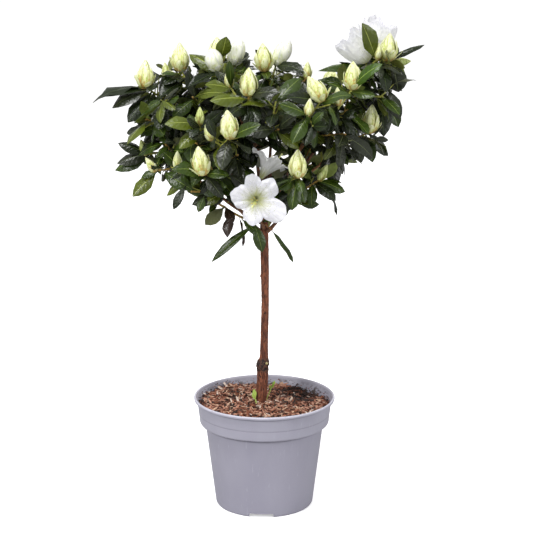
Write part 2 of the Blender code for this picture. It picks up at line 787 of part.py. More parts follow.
def flower_pieces(place, aim, length, radius):
    """A funnel with five wide petals round its mouth."""
    foot = TWIG_RADIUS * BLOOM_FOOT_SHARE
    made = [tube_shape(FLOWER_TUBE, foot, radius * FLOWER_MOUTH_SHARE, 6)]
    for number in range(PETAL_COUNT):
        turn = math.tau * number / PETAL_COUNT + PETAL_TURN
        side = Vector((math.cos(turn), 0.0, math.sin(turn)))
        along = Vector((0, 1, 0)) * math.cos(PETAL_FLARE) + side * math.sin(PETAL_FLARE)
        width, thickness = length * PETAL_WIDTH_SHARE, length * PETAL_THICKNESS_SHARE
        petal = blade(length, width, thickness, PETAL_WIDEST, PETAL_ARCH)
        throat = Vector((0, FLOWER_THROAT, 0))
        bmesh.ops.transform(petal, matrix=aimed(throat, along, Vector((0, 1, 0))), verts=petal.verts)
        made.append(petal)
    stand = aimed(place - aim * 0.001, aim, Vector(UP))
    for bm in made:
        bmesh.ops.transform(bm, matrix=stand, verts=bm.verts)
    return made


def bloom_pieces(shoot):
    if shoot["kind"] is None:
        return []
    length, radius = BLOOM_SIZES[shoot["kind"]]
    if shoot["kind"] == "flower":
        return flower_pieces(shoot["place"], shoot["aim"], length, radius)
    if shoot["kind"] == "bell":
        bm = tube_shape(length, TWIG_RADIUS * BLOOM_FOOT_SHARE, radius, 6)
    else:
        bm = bud_shape(length, radius)
    bmesh.ops.transform(bm, matrix=aimed(shoot["place"], shoot["aim"], Vector(UP)), verts=bm.verts)
    return [bm]


def whorl(shoot, dice):
    """The leaves of one shoot, its set ones first and then the rule's, as keyword sets for leaf_piece."""
    count = WHORL_LEAVES if shoot["kind"] else BARE_SHOOT_LEAVES
    aim, place = shoot["aim"], shoot["place"]
    side = aim.orthogonal().normalized()
    other = aim.cross(side)
    turn = dice.uniform(0, math.tau)
    leaves = []
    for number in range(max(count, len(shoot["leaves"]))):
        root = place + shoot["back"] * min(LEAF_START + number * LEAF_PITCH, shoot["run"])
        turn += GOLDEN_ANGLE
        size = dice.uniform(*LEAF_LENGTH)
        roll = dice.uniform(-LEAF_ROLL, LEAF_ROLL)
        leaf = {"root": root, "width": LEAF_WIDTH_SHARE}
        if number < len(shoot["leaves"]):
            reach = place + Vector(shoot["leaves"][number][:3]) - root
            leaf |= {"along": reach.normalized(), "length": reach.length}
            leaf |= {"face": SET_LEAF_FACE, "roll": 0.0}
            if len(shoot["leaves"][number]) > 3:
                leaf["width"] = shoot["leaves"][number][3]
        else:
            spread = LEAF_SPREAD[0] + (LEAF_SPREAD[1] - LEAF_SPREAD[0]) * number / (count - 1)
            out = side * math.cos(turn) + other * math.sin(turn)
            along = aim * math.cos(spread) + out * math.sin(spread) - LEAF_DROOP * Vector(UP)
            face = aim + LEAF_FACE_RISE * Vector(UP)
            leaf |= {"along": along.normalized(), "length": size, "face": face, "roll": roll}
        leaves.append((leaf, number < len(shoot["leaves"])))
    return leaves


def leaf_piece(root, along, length, face, roll, width, skip=0.0, thicker=0.0):
    """A leaf at its place, or only the blade beyond a share of its length, perhaps a little thicker."""
    thickness = length * LEAF_THICKNESS_SHARE + thicker
    shown = length * (1 - skip)
    bm = blade(shown, length * width + thicker, thickness, LEAF_WIDEST, LEAF_ARCH)
    bmesh.ops.rotate(bm, matrix=Matrix.Rotation(roll, 3, "Y"), verts=bm.verts)
    start = root + along * (length * skip - LEAF_SINK)
    bmesh.ops.transform(bm, matrix=aimed(start, along, face), verts=bm.verts)
    return bm


# --- Growing the masses, each clear of the limbs and of the others ----------------------------
def tree_and_drop(bm):
    tree = tree_of([triangles(bm)])
    bm.free()
    return tree


def crosses(tree, obstacles):
    return any(tree.overlap(other) for other in obstacles)


def grow_twigs(mass, others):
    """The mass's stem, then each shoot's twig from the fork that makes the shortest clear way."""
    root = mass["root"]
    for share in STEM_SHARES:
        stem_end = root.lerp(mass["centre"], share)
        wide = twig_piece(root, stem_end, BOUGH_TIP_RADIUS, TWIG_RADIUS + CLEARANCE)
        if not crosses(tree_and_drop(wide), others):
            break
    else:
        print("no clear way for a stem at", root)
    twigs = [twig_piece(root, stem_end, BOUGH_TIP_RADIUS, TWIG_RADIUS)]
    forks = [(root.lerp(stem_end, share), (stem_end - root).length * share) for share in (FORK_SHARE, 1.0)]
    kept = []
    for shoot in sorted(mass["shoots"], key=lambda one: (one["place"] - root).length):
        place = shoot["place"]
        choices = [fork for fork in forks if (fork[0] - place).length > NEAREST_FORK] or forks
        choices.sort(key=lambda fork: (fork[0] - place).length + DETOUR_WEIGHT * fork[1])
        for fork, way in choices:
            wide = TWIG_RADIUS + CLEARANCE
            if crosses(tree_and_drop(twig_piece(fork, place, wide, wide)), others):
                continue
            twigs.append(twig_piece(fork, place, TWIG_RADIUS, TWIG_TIP_RADIUS))
            span = (place - fork).length
            forks.append((fork.lerp(place, FORK_SHARE), way + span * FORK_SHARE))
            shoot["back"] = (fork - place).normalized()
            shoot["run"] = span
            kept.append(shoot)
            break
    mass["shoots"] = kept
    return twigs


def crown_floor(point):
    """The lowest height that a leaf of the rule may reach: the crown's underside rises outwards."""
    return CROWN_FLOOR + CROWN_FLOOR_SLOPE * max(0.0, math.hypot(point.x, point.y) - CROWN_FLOOR_START)


def fit_leaf(leaf, set_by_hand, others, own, dice):
    """The leaf where it is clear of other masses and its blade of its own mass, or turned, or nothing."""
    stalk = SET_STALK_SHARE if set_by_hand else LEAF_STALK_SHARE
    for _ in range(LEAF_TRIES):
        tip = leaf["root"] + leaf["along"] * leaf["length"]
        whole = tree_and_drop(leaf_piece(**leaf, thicker=2 * CLEARANCE))
        if (set_by_hand or tip.z > crown_floor(tip)) and not crosses(whole, others):
            outer = tree_and_drop(leaf_piece(**leaf, skip=stalk, thicker=2 * CLEARANCE))
            if not crosses(outer, own):
                return leaf_piece(**leaf)
        nudge = Vector((dice.uniform(-1, 1), dice.uniform(-1, 1), dice.uniform(-0.7, 1)))
        leaf["along"] = (leaf["along"] + (SET_NUDGE if set_by_hand else LEAF_TURN) * nudge).normalized()
        if not set_by_hand:
            leaf["length"] *= LEAF_SHRINK
    return None


def fuse(name, pieces, parts):
    """All of a mass's small pieces joined into one closed body by one Boolean union."""
    batch = collection(name + "_pieces")
    body = add_mesh(name, pieces[0], parts, "foliage")
    for number, bm in enumerate(pieces[1:]):
        add_mesh(f"{name}_piece_{number}", bm, batch)
    union = body.modifiers.new("join", "BOOLEAN")
    union.operation = "UNION"
    union.operand_type = "COLLECTION"
    union.collection = batch
    union.solver = "EXACT"
    apply_modifiers(body)
    for obj in list(batch.objects):
        mesh = obj.data
        bpy.data.objects.remove(obj)
        bpy.data.meshes.remove(mesh)
    bpy.data.collections.remove(batch)
    keep_largest(body)
    return body


def build_masses(parts, tips, limbs):
    masses = {}
    for name, shoots in plan_shoots().items():
        tip, onward = tips[name]
        masses[name] = {
            "root": tip + onward * SEAT_GAP,
            "centre": Vector(MASSES[name]["centre"]),
            "shoots": shoots,
            "pieces": [],
            "trees": [],
        }

    def add(name, pieces):
        masses[name]["pieces"] += pieces
        masses[name]["trees"] += [tree_of([triangles(bm)]) for bm in pieces]

    def trees_but(name):
        return [limbs] + [tree for other, mass in masses.items() if other != name for tree in mass["trees"]]

    for name, mass in masses.items():
        for shoot in mass["shoots"]:
            blooms = bloom_pieces(shoot)
            trees = [tree_of([triangles(bm)]) for bm in blooms]
            if any(crosses(tree, trees_but(name)) for tree in trees):
                print("bloom in the way in", name, shoot["place"])
            shoot["blooms"] = blooms
            mass["trees"] += trees
    for name, mass in masses.items():
        planned = len(mass["shoots"])
        add(name, grow_twigs(mass, trees_but(name)))
        mass["pieces"] += [bm for shoot in mass["shoots"] for bm in shoot["blooms"]]
        if len(mass["shoots"]) < planned:
            print("shoots without a clear way in", name, planned - len(mass["shoots"]))
    leaf_count = 0
    for set_by_hand in (True, False):
        for number, (name, mass) in enumerate(masses.items()):
            dice = random.Random(CROWN_SEED + number)
            others = trees_but(name)
            for leaf, by_hand in [item for shoot in mass["shoots"] for item in whorl(shoot, dice)]:
                if by_hand != set_by_hand:
                    continue
                aimed_at = leaf["root"] + leaf["along"] * leaf["length"]
                bm = fit_leaf(leaf, set_by_hand, others, mass["trees"], dice)
                if bm:
                    add(name, [bm])
                    leaf_count += 1
                elif set_by_hand:
                    print("no room for a set leaf in", name, aimed_at)
    for name, mass in masses.items():
        fuse("foliage_" + name, mass["pieces"], parts)
    print("shoots", sum(len(mass["shoots"]) for mass in masses.values()), "leaves", leaf_count)


def main():
    clear_scene()
    parts = collection("potted_rhododendron")
    cutters = collection("cutters")
    build_pot(parts, cutters)
    build_soil(parts)
    tips, limbs = build_boughs(parts, cutters, build_trunk(parts))
    build_masses(parts, tips, limbs)


main()
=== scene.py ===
import math
import random

import bmesh
import bpy
import numpy as np
from mathutils import Matrix, Vector, noise
from mathutils.bvhtree import BVHTree


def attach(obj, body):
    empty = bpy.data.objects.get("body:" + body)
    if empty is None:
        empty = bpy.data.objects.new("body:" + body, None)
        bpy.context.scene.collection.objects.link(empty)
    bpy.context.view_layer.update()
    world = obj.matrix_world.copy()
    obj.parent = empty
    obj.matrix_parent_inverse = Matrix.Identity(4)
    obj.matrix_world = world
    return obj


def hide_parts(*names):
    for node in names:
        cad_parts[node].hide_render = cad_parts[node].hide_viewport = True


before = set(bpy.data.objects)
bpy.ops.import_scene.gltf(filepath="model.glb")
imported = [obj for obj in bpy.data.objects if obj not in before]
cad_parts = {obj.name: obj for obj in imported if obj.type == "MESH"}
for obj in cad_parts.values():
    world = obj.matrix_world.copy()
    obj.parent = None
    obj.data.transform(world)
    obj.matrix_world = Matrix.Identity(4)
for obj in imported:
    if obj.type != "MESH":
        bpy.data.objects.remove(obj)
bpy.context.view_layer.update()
up = Vector((0, 0, 1))
looks = bpy.data.collections.new("rhododendron_looks")
bpy.context.scene.collection.children.link(looks)
print("frame loaded")


def layObject(name, mesh, materials):
    obj = bpy.data.objects.new(name, mesh)
    looks.objects.link(obj)
    for material in materials:
        mesh.materials.append(material)
    return obj


def layPiece(name, mesh, materials, slot, *nodes):
    obj = layObject(name, mesh, materials)
    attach(obj, "root")
    if nodes:
        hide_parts(*nodes)
    print(name, "faces", len(mesh.polygons))
    return obj


# shader nodes, groups and materials


def feed(tree, node, values):
    # each socket takes another node's output or a plain value
    for label, value in values.items():
        if isinstance(value, bpy.types.NodeSocket):
            tree.links.new(value, node.inputs[label])
        else:
            node.inputs[label].default_value = value


def addNode(tree, kind, values=None, **settings):
    node = tree.nodes.new("ShaderNode" + kind)
    for name, value in settings.items():
        setattr(node, name, value)
    feed(tree, node, values or {})
    return node


def maths(tree, operation, *values):
    return addNode(tree, "Math", dict(enumerate(values)), operation=operation).outputs[0]


def mapRange(tree, value, limits, kind="LINEAR"):
    return addNode(tree, "MapRange", {"Value": value} | limits, interpolation_type=kind).outputs["Result"]


def newGroup(name, inputs, outputs):
    # inputs are numbers, vectors, or None for a vector that is always linked
    group = bpy.data.node_groups.new(name, "ShaderNodeTree")
    for label, value in inputs.items():
        kind = "NodeSocketFloat" if isinstance(value, (int, float)) else "NodeSocketVector"
        socket = group.interface.new_socket(name=label, in_out="INPUT", socket_type=kind)
        if value is not None:
            socket.default_value = value
    for label in outputs:
        group.interface.new_socket(name=label, in_out="OUTPUT", socket_type="NodeSocketFloat")
    return group, group.nodes.new("NodeGroupInput").outputs, group.nodes.new("NodeGroupOutput")


def makeStreaks():
    # noise stretched along one way, cut to a mask between two levels
    inputs = {"Vector": None, "Stretch": (1, 1, 1), "Scale": 100, "From": 0.4, "To": 0.6}
    group, given, put = newGroup("streaks", inputs, ("Mask", "Height"))
    stretched = addNode(group, "VectorMath", {0: given["Vector"], 1: given["Stretch"]}, operation="MULTIPLY")
    values = {"Vector": stretched.outputs[0], "Scale": given["Scale"], "Detail": 4}
    height = addNode(group, "TexNoise", values).outputs["Fac"]
    mask = mapRange(group, height, {"From Min": given["From"], "From Max": given["To"]}, "SMOOTHSTEP")
    feed(group, put, {"Mask": mask, "Height": height})
    return group


def makeFade():
    # a soft, broken step of one coordinate: 0 below the first edge, 1 past the second
    inputs = {"Value": 0, "Start": 0, "End": 1, "Break": 0, "Breakup": 0.5}
    group, given, put = newGroup("fade", inputs, ("Mask",))
    shift = maths(group, "SUBTRACT", given["Breakup"], 0.5)
    moved = maths(group, "MULTIPLY_ADD", shift, given["Break"], given["Value"])
    limits = {"From Min": given["Start"], "From Max": given["End"]}
    feed(group, put, {"Mask": mapRange(group, moved, limits, "SMOOTHSTEP")})
    return group


def makeSideVeins():
    # ridges that run out and forward from the rib of a leaf
    group, given, put = newGroup("sideVeins", {"Vector": None, "Count": 7, "Slant": 2.4}, ("Height",))
    parts = addNode(group, "SeparateXYZ", {0: given["Vector"]}).outputs
    away = maths(group, "ABSOLUTE", maths(group, "SUBTRACT", parts["X"], 0.5))
    ahead = maths(group, "MULTIPLY", parts["Y"], given["Count"])
    phase = maths(group, "SUBTRACT", ahead, maths(group, "MULTIPLY", away, given["Slant"]))
    wave = maths(group, "ABSOLUTE", maths(group, "SUBTRACT", maths(group, "FRACT", phase), 0.5))
    feed(group, put, {"Height": maths(group, "POWER", maths(group, "MULTIPLY", wave, 2), 0.5)})
    return group


streaks = makeStreaks()
fade = makeFade()
sideVeins = makeSideVeins()


def plainSurface(name, colour, roughness):
    material = bpy.data.materials.new(name)
    material.use_nodes = True
    tree = material.node_tree
    feed(tree, tree.nodes["Principled BSDF"], {"Base Color": (*colour, 1), "Roughness": roughness})
    return material


def startSurface(name, colour, roughness):
    material = plainSurface(name, colour, roughness)
    tree = material.node_tree
    return material, tree, tree.nodes["Principled BSDF"], addNode(tree, "TexCoord").outputs["Object"]


def formOf(tree):
    return addNode(tree, "UVMap", uv_map="form").outputs["UV"]


def streaksOn(tree, where, scale, stretch=(1, 1, 1), low=0.4, high=0.6):
    values = {"Vector": where, "Stretch": stretch, "Scale": scale, "From": low, "To": high}
    return addNode(tree, "Group", values, node_tree=streaks).outputs


def fadeOn(tree, value, start, end, broken, breakup):
    values = {"Value": value, "Start": start, "End": end, "Break": broken, "Breakup": breakup}
    return addNode(tree, "Group", values, node_tree=fade).outputs["Mask"]


def coat(tree, colour, *coats):
    # each coat is a mask and the colour that it lays over what is there
    for mask, over in coats:
        mix = addNode(tree, "Mix", data_type="RGBA")
        tree.links.new(mask, mix.inputs["Factor"])
        for value, label in ((colour, "A"), (over, "B")):
            number = [n for n, one in enumerate(mix.inputs) if one.name == label and one.type == "RGBA"][0]
            feed(tree, mix, {number: value if isinstance(value, bpy.types.NodeSocket) else (*value, 1)})
        colour = [one for one in mix.outputs if one.type == "RGBA"][0]
    return colour


def bumps(tree, *layers):
    # each layer is a height and its depth in metres
    normal = None
    for height, depth in layers:
        values = {"Strength": 1, "Distance": depth, "Height": height}
        normal = addNode(tree, "Bump", values | ({"Normal": normal} if normal else {})).outputs["Normal"]
    return normal


def roughnessFrom(tree, mask, low, high):
    return mapRange(tree, mask, {"To Min": low, "To Max": high})


def mottledSurface(name, look):
    # two or three colours in streaks, with relief from a finer grain
    colours, scale, stretch = look["colours"], look["scale"], look.get("stretch", (1, 1, 1))
    material, tree, shader, where = startSurface(name, colours[0], look["roughness"][0])
    first = streaksOn(tree, where, scale, stretch, 0.38, 0.62)
    colour = coat(tree, colours[0], (first["Mask"], colours[1]))
    if len(colours) > 2:
        flecks = streaksOn(tree, where, scale * 3.1, stretch, *look.get("flecks", (0.58, 0.68)))
        colour = coat(tree, colour, (flecks["Mask"], colours[2]))
    relief = streaksOn(tree, where, look["reliefScale"], stretch)["Height"]
    feed(tree, shader, {
        "Base Color": colour,
        "Roughness": roughnessFrom(tree, first["Height"], *look["roughness"]),
        "Normal": bumps(tree, (relief, look["relief"])),
    })
    return material


def tint(red, green, blue):
    # a screen colour, 0 to 255, as the linear values that a shader takes
    def linear(level):
        share = level / 255
        return share / 12.92 if level <= 10 else ((share + 0.055) / 1.055) ** 2.4

    return tuple(linear(level) for level in (red, green, blue))


# metres, +Z up, the pot's axis is the Z axis and its underside is at 0
studio = {
    "cameraPlace": (0.0023, -1.710, 0.677),
    "cameraDownTilt": 13.7,
    "focalPixels": 1680,
    "framePixels": 533,
    "sensorWidth": 36.0,
    "floorSize": 30.0,
    "floorColour": (0.93, 0.93, 0.94),
    "floorBounce": (0.50, 0.50, 0.51),
    "floorGlow": 0.45,
    "skyStrength": 0.615,
    "backdropStrength": 1.0,
    "softboxes": {
        # place, aim, width, power, colour
        "overhead": ((-0.4, -0.7, 2.2), (0, 0, 0.35), 0.7, 29, (1.0, 1.0, 1.0)),
        "frontLeft": ((-1.5, -1.8, 1.5), (0, 0, 0.3), 0.7, 29, (1.0, 1.0, 1.0)),
        "frontRight": ((1.8, -1.5, 0.9), (0, 0, 0.3), 0.9, 15, (0.97, 0.98, 1.0)),
        "behind": ((0.6, 2.0, 1.4), (0, 0, 0.35), 1.0, 13, (1.0, 1.0, 1.0)),
    },
}


def addStudio():
    s = studio
    data = bpy.data.cameras.new("camera")
    data.sensor_width = s["sensorWidth"]
    data.lens = s["sensorWidth"] * s["focalPixels"] / s["framePixels"]
    camera = bpy.data.objects.new("camera", data)
    camera.location = s["cameraPlace"]
    camera.rotation_euler = (math.radians(90 - s["cameraDownTilt"]), 0, 0)
    bpy.context.scene.collection.objects.link(camera)
    bpy.context.scene.camera = camera
    bpy.context.scene.view_settings.view_transform = "Standard"
    for name, (place, aim, width, power, colour) in s["softboxes"].items():
        light = bpy.data.lights.new(name, "AREA")
        light.shape = "SQUARE"
        light.size = width
        light.energy = power
        light.color = colour
        lamp = bpy.data.objects.new(name, light)
        lamp.location = place
        lamp.rotation_euler = (Vector(aim) - Vector(place)).to_track_quat("-Z", "Y").to_euler()
        bpy.context.scene.collection.objects.link(lamp)
    # a white backdrop that lights the plant less than it shows
    world = bpy.data.worlds.new("paleStudio")
    world.use_nodes = True
    tree = world.node_tree
    seen = addNode(tree, "LightPath").outputs["Is Camera Ray"]
    strength = mapRange(tree, seen, {"To Min": s["skyStrength"], "To Max": s["backdropStrength"]})
    feed(tree, tree.nodes["Background"], {"Strength": strength, "Color": (1, 1, 1, 1)})
    bpy.context.scene.world = world
    bm = bmesh.new()
    bmesh.ops.create_grid(bm, x_segments=2, y_segments=2, size=s["floorSize"] / 2)
    mesh = bpy.data.meshes.new("floor")
    bm.to_mesh(mesh)
    bm.free()
    paper = plainSurface("floorPaper", s["floorColour"], 0.9)
    tree = paper.node_tree
    seen = addNode(tree, "LightPath").outputs["Is Camera Ray"]
    feed(tree, tree.nodes["Principled BSDF"], {
        "Base Color": coat(tree, s["floorBounce"], (seen, s["floorColour"])),
        "Emission Color": (1, 1, 1, 1),
        "Emission Strength": mapRange(tree, seen, {"To Min": 0, "To Max": s["floorGlow"]}),
    })
    layObject("floor", mesh, [paper])


addStudio()
print("camera, floor and lights made")


# meshes


def meshFrom(name, bm, smoothAngle=None):
    mesh = bpy.data.meshes.new(name)
    bm.to_mesh(mesh)
    bm.free()
    mesh.shade_smooth()
    if smoothAngle:
        mesh.set_sharp_from_angle(angle=math.radians(smoothAngle))
    return mesh


def evenSteps(count):
    return [number / count for number in range(count + 1)]


def roundSpot(radius, turn, height=0.0):
    return Vector((radius * math.cos(turn), radius * math.sin(turn), height))


def layPatch(bm, columns, rows, place, slot=0):
    # a grid whose points are put where place(across, along) says, with its own map
    made = bmesh.ops.create_grid(bm, x_segments=len(columns) - 1, y_segments=len(rows) - 1, size=0.5)
    form = bm.loops.layers.uv.get("form") or bm.loops.layers.uv.new("form")
    wide, tall = columns[-1] - columns[0], rows[-1] - rows[0]
    spots = {}
    for vert in made["verts"]:
        across = columns[round((vert.co.x + 0.5) * (len(columns) - 1))]
        along = rows[round((vert.co.y + 0.5) * (len(rows) - 1))]
        spots[vert] = ((across - columns[0]) / wide, (along - rows[0]) / tall)
        vert.co = place(across, along)
    faces = {face for vert in made["verts"] for face in vert.link_faces}
    for face in faces:
        face.material_index = slot
        for loop in face.loops:
            loop[form].uv = spots[loop.vert]
    return made["verts"], list(faces)


def giveBody(bm, thickness, slot):
    # a second sheet under an open one, joined along its rim, so that a leaf or petal is closed
    bm.normal_update()
    rim = {vert for edge in bm.edges if edge.is_boundary for vert in edge.verts}
    sunk = {vert: vert.co - vert.normal * thickness for vert in bm.verts if vert not in rim}
    copied = bmesh.ops.duplicate(bm, geom=bm.verts[:] + bm.edges[:] + bm.faces[:])
    twins = copied["vert_map"]
    lower = [item for item in copied["geom"] if isinstance(item, bmesh.types.BMFace)]
    bmesh.ops.reverse_faces(bm, faces=lower)
    for vert, place in sunk.items():
        twins[vert].co = place
    for face in lower:
        face.material_index = slot
    bmesh.ops.weld_verts(bm, targetmap={twins[vert]: vert for vert in rim})


def shapeOf(bm):
    bm.verts.index_update()
    form = bm.loops.layers.uv.get("form")
    loops = [loop for face in bm.faces for loop in face.loops]
    shape = {
        "points": np.array([tuple(vert.co) for vert in bm.verts]),
        "corners": np.array([loop.vert.index for loop in loops]),
        "sizes": np.array([len(face.verts) for face in bm.faces]),
        "slots": np.array([face.material_index for face in bm.faces]),
        "spots": np.array([tuple(loop[form].uv) if form else (0, 0) for loop in loops]),
    }
    bm.free()
    return shape


def newPile():
    return {"points": [], "corners": [], "sizes": [], "slots": [], "spots": [], "count": 0}


def addToPile(pile, shape, matrix, slots=None, points=None):
    # one more copy of a shape, with its surfaces dealt to the pile's own material slots
    turn = np.array(matrix.to_3x3())
    points = shape["points"] if points is None else points
    pile["points"].append(points @ turn.T + np.array(matrix.translation))
    pile["corners"].append(shape["corners"] + pile["count"])
    pile["slots"].append(shape["slots"] if slots is None else np.array(slots)[shape["slots"]])
    for key in ("sizes", "spots"):
        pile[key].append(shape[key])
    pile["count"] += len(points)


def meshFromPile(name, pile, smoothAngle):
    mesh = bpy.data.meshes.new(name)
    whole = {key: np.concatenate(pile[key]) for key in ("points", "corners", "sizes", "slots", "spots")}
    mesh.vertices.add(pile["count"])
    mesh.vertices.foreach_set("co", whole["points"].astype(np.float32).ravel())
    mesh.loops.add(len(whole["corners"]))
    mesh.loops.foreach_set("vertex_index", whole["corners"].astype(np.int32))
    mesh.polygons.add(len(whole["sizes"]))
    starts = np.cumsum(whole["sizes"]) - whole["sizes"]
    mesh.polygons.foreach_set("loop_start", starts.astype(np.int32))
    mesh.polygons.foreach_set("material_index", whole["slots"].astype(np.int32))
    layer = mesh.uv_layers.new(name="form")
    layer.data.foreach_set("uv", whole["spots"].astype(np.float32).ravel())
    mesh.update(calc_edges=True)
    mesh.validate()
    mesh.shade_smooth()
    mesh.set_sharp_from_angle(angle=math.radians(smoothAngle))
    return mesh


def aimedMatrix(place, along, face):
    # puts a shape's +Y along a direction, with its +Z as near the face as it can be
    yAxis = along.normalized()
    zAxis = face - yAxis * face.dot(yAxis)
    if zAxis.length < 0.001:
        zAxis = yAxis.orthogonal()
    zAxis.normalize()
    turn = Matrix((yAxis.cross(zAxis), yAxis, zAxis)).transposed().to_4x4()
    return Matrix.Translation(place) @ turn


# pot

potForm = {
    "height": 0.1186,
    "rimRadius": 0.0752,
    "rimBottom": 0.1154,
    "lip": 0.0030,
    "wall": 0.0013,
    "footRadius": 0.0521,
    "footHeight": 0.0034,
    "floorTop": 0.0048,
    "bodyTopRadius": 0.0631,
    "bandBottom": 0.0902,
    "bandRadius": 0.0686,
    "bandFlare": 0.0030,
    "creaseHeight": 0.1015,
    "creaseStep": 0.00035,
    # painted shade in the creases: height, reach above and below, strength
    "shadedCreases": (
        (0.0896, 0.0007, 0.0034, 0.90), (0.1012, 0.0005, 0.0005, 0.50), (0.1148, 0.0007, 0.0016, 0.90),
    ),
    "padRadius": 0.012,
    "steps": 160,
    "rounding": 0.0005,
    "smoothAngle": 38,
    "notchCount": 3,
    "notchWidth": 0.027,
    "notchReach": 0.012,
    "notchTurn": -93.5,
    "drainCount": 6,
    "drainRadius": 0.0035,
    "drainRing": 0.034,
}


def potPlastic():
    p = potForm
    material, tree, shader, where = startSurface("potPlastic", (0.345, 0.336, 0.405), 0.5)
    cloud = streaksOn(tree, where, 26, (1, 1, 0.5), 0.3, 0.7)
    height = addNode(tree, "SeparateXYZ", {0: where}).outputs["Z"]

    def level(start, end, broken=0.0):
        return fadeOn(tree, height, start, end, broken, cloud["Height"])

    # painted shade: the body under the band is painted darker than the band, though both are one plastic
    body = coat(tree, (0.293, 0.284, 0.349), (cloud["Mask"], (0.326, 0.316, 0.382)))
    band = coat(tree, (0.323, 0.314, 0.380), (cloud["Mask"], (0.359, 0.350, 0.418)))
    onBand = level(p["bandBottom"] - 0.0004, p["bandBottom"] + 0.0004)
    # painted shade: the creases under the rim's bead and the band, and the band's crease line, are painted
    # dark, but only outside, where the surface looks away from the pot's axis
    lines = addNode(tree, "ValToRGB", {"Fac": mapRange(tree, height, {"From Max": p["height"]})})
    ramp = lines.color_ramp
    ramp.elements[0].color = ramp.elements[1].color = (0, 0, 0, 1)
    for middle, above, below, depth in p["shadedCreases"]:
        for stop, value in ((middle - below, 0), (middle, depth), (middle + above, 0)):
            ramp.elements.new(stop / p["height"]).color = (value, value, value, 1)
    normal = addNode(tree, "TexCoord").outputs["Normal"]
    outward = addNode(tree, "VectorMath", {0: normal, 1: where}, operation="DOT_PRODUCT").outputs["Value"]
    outside = mapRange(tree, outward, {"From Max": 0.01})
    # the wall inside is soiled above the mix
    soiled = maths(tree, "SUBTRACT", 1.0, outside)
    grime = streaksOn(tree, where, 190, (1, 1, 1.4), 0.50, 0.58)["Mask"]
    for mask in (grime, level(0.1176, 0.1085, 0.012), level(0.0980, 0.0990)):
        soiled = maths(tree, "MULTIPLY", soiled, mask)
    colour = coat(
        tree, body,
        (onBand, band),
        # the painted shade in the creases, from the ramp above
        (maths(tree, "MULTIPLY", lines.outputs["Color"], outside), (0.050, 0.048, 0.060)),
        (soiled, (0.060, 0.042, 0.038)),
        # painted highlight: the rim is painted lighter from just above its foot up to its top
        (level(p["rimBottom"] + 0.0006, p["height"]), (0.50, 0.49, 0.57)),
        (streaksOn(tree, where, 300, (1, 1, 0.15), 0.62, 0.80)["Mask"], (0.40, 0.39, 0.46)),
        (streaksOn(tree, where, 900, (1, 1, 1), 0.70, 0.78)["Mask"], (0.22, 0.20, 0.21)),
    )
    fine = streaksOn(tree, where, 1400)["Height"]
    broad = streaksOn(tree, where, 60, (1, 1, 0.3))["Height"]
    feed(tree, shader, {
        "Base Color": colour,
        "Roughness": roughnessFrom(tree, cloud["Height"], 0.38, 0.56),
        "Normal": bumps(tree, (fine, 0.00004), (broad, 0.0004)),
    })
    return material


def innerWall(height):
    p = potForm
    share = (height - p["floorTop"]) / (p["bandBottom"] - p["floorTop"])
    return p["footRadius"] + share * (p["bodyTopRadius"] - p["footRadius"]) - p["wall"]


def potProfile():
    # radius and height, from the middle of the floor up the inside and down the outside
    p = potForm
    rim, foot, band, bandBottom = p["rimRadius"], p["footRadius"], p["bandRadius"], p["bandBottom"]
    bandTop = band + p["bandFlare"]
    creaseShare = (p["creaseHeight"] - bandBottom) / (p["rimBottom"] - bandBottom)
    crease = band + p["bandFlare"] * creaseShare
    return [
        (0.0, p["floorTop"]),
        (innerWall(p["floorTop"]) - 0.0012, p["floorTop"]),
        (innerWall(p["floorTop"] + 0.002), p["floorTop"] + 0.002),
        (innerWall(bandBottom), bandBottom),
        (band - p["wall"], bandBottom + 0.0016),
        (bandTop - p["wall"], p["rimBottom"] - 0.0022),
        (rim - p["lip"], p["rimBottom"] + 0.0002),
        (rim - p["lip"] + 0.0008, p["height"]),
        (rim - 0.0006, p["height"]),
        (rim, p["height"] - 0.0014),
        (rim - 0.0006, p["rimBottom"]),
        (bandTop, p["rimBottom"] + 0.0003),
        (crease + p["creaseStep"], p["creaseHeight"] + 0.0012),
        (crease, p["creaseHeight"]),
        (band + p["creaseStep"], bandBottom + 0.0014),
        (band - 0.0006, bandBottom),
        (p["bodyTopRadius"] + 0.0002, bandBottom - 0.0002),
        (p["bodyTopRadius"] - 0.0002, bandBottom - 0.0014),
        (foot + 0.0003, 0.0040),
        (foot, 0.0016),
        (foot - 0.0012, 0.0),
        (foot - 0.0034, 0.0),
        (foot - 0.0040, p["footHeight"]),
        (p["padRadius"], p["footHeight"]),
        (p["padRadius"], 0.0),
        (0.0, 0.0),
    ]


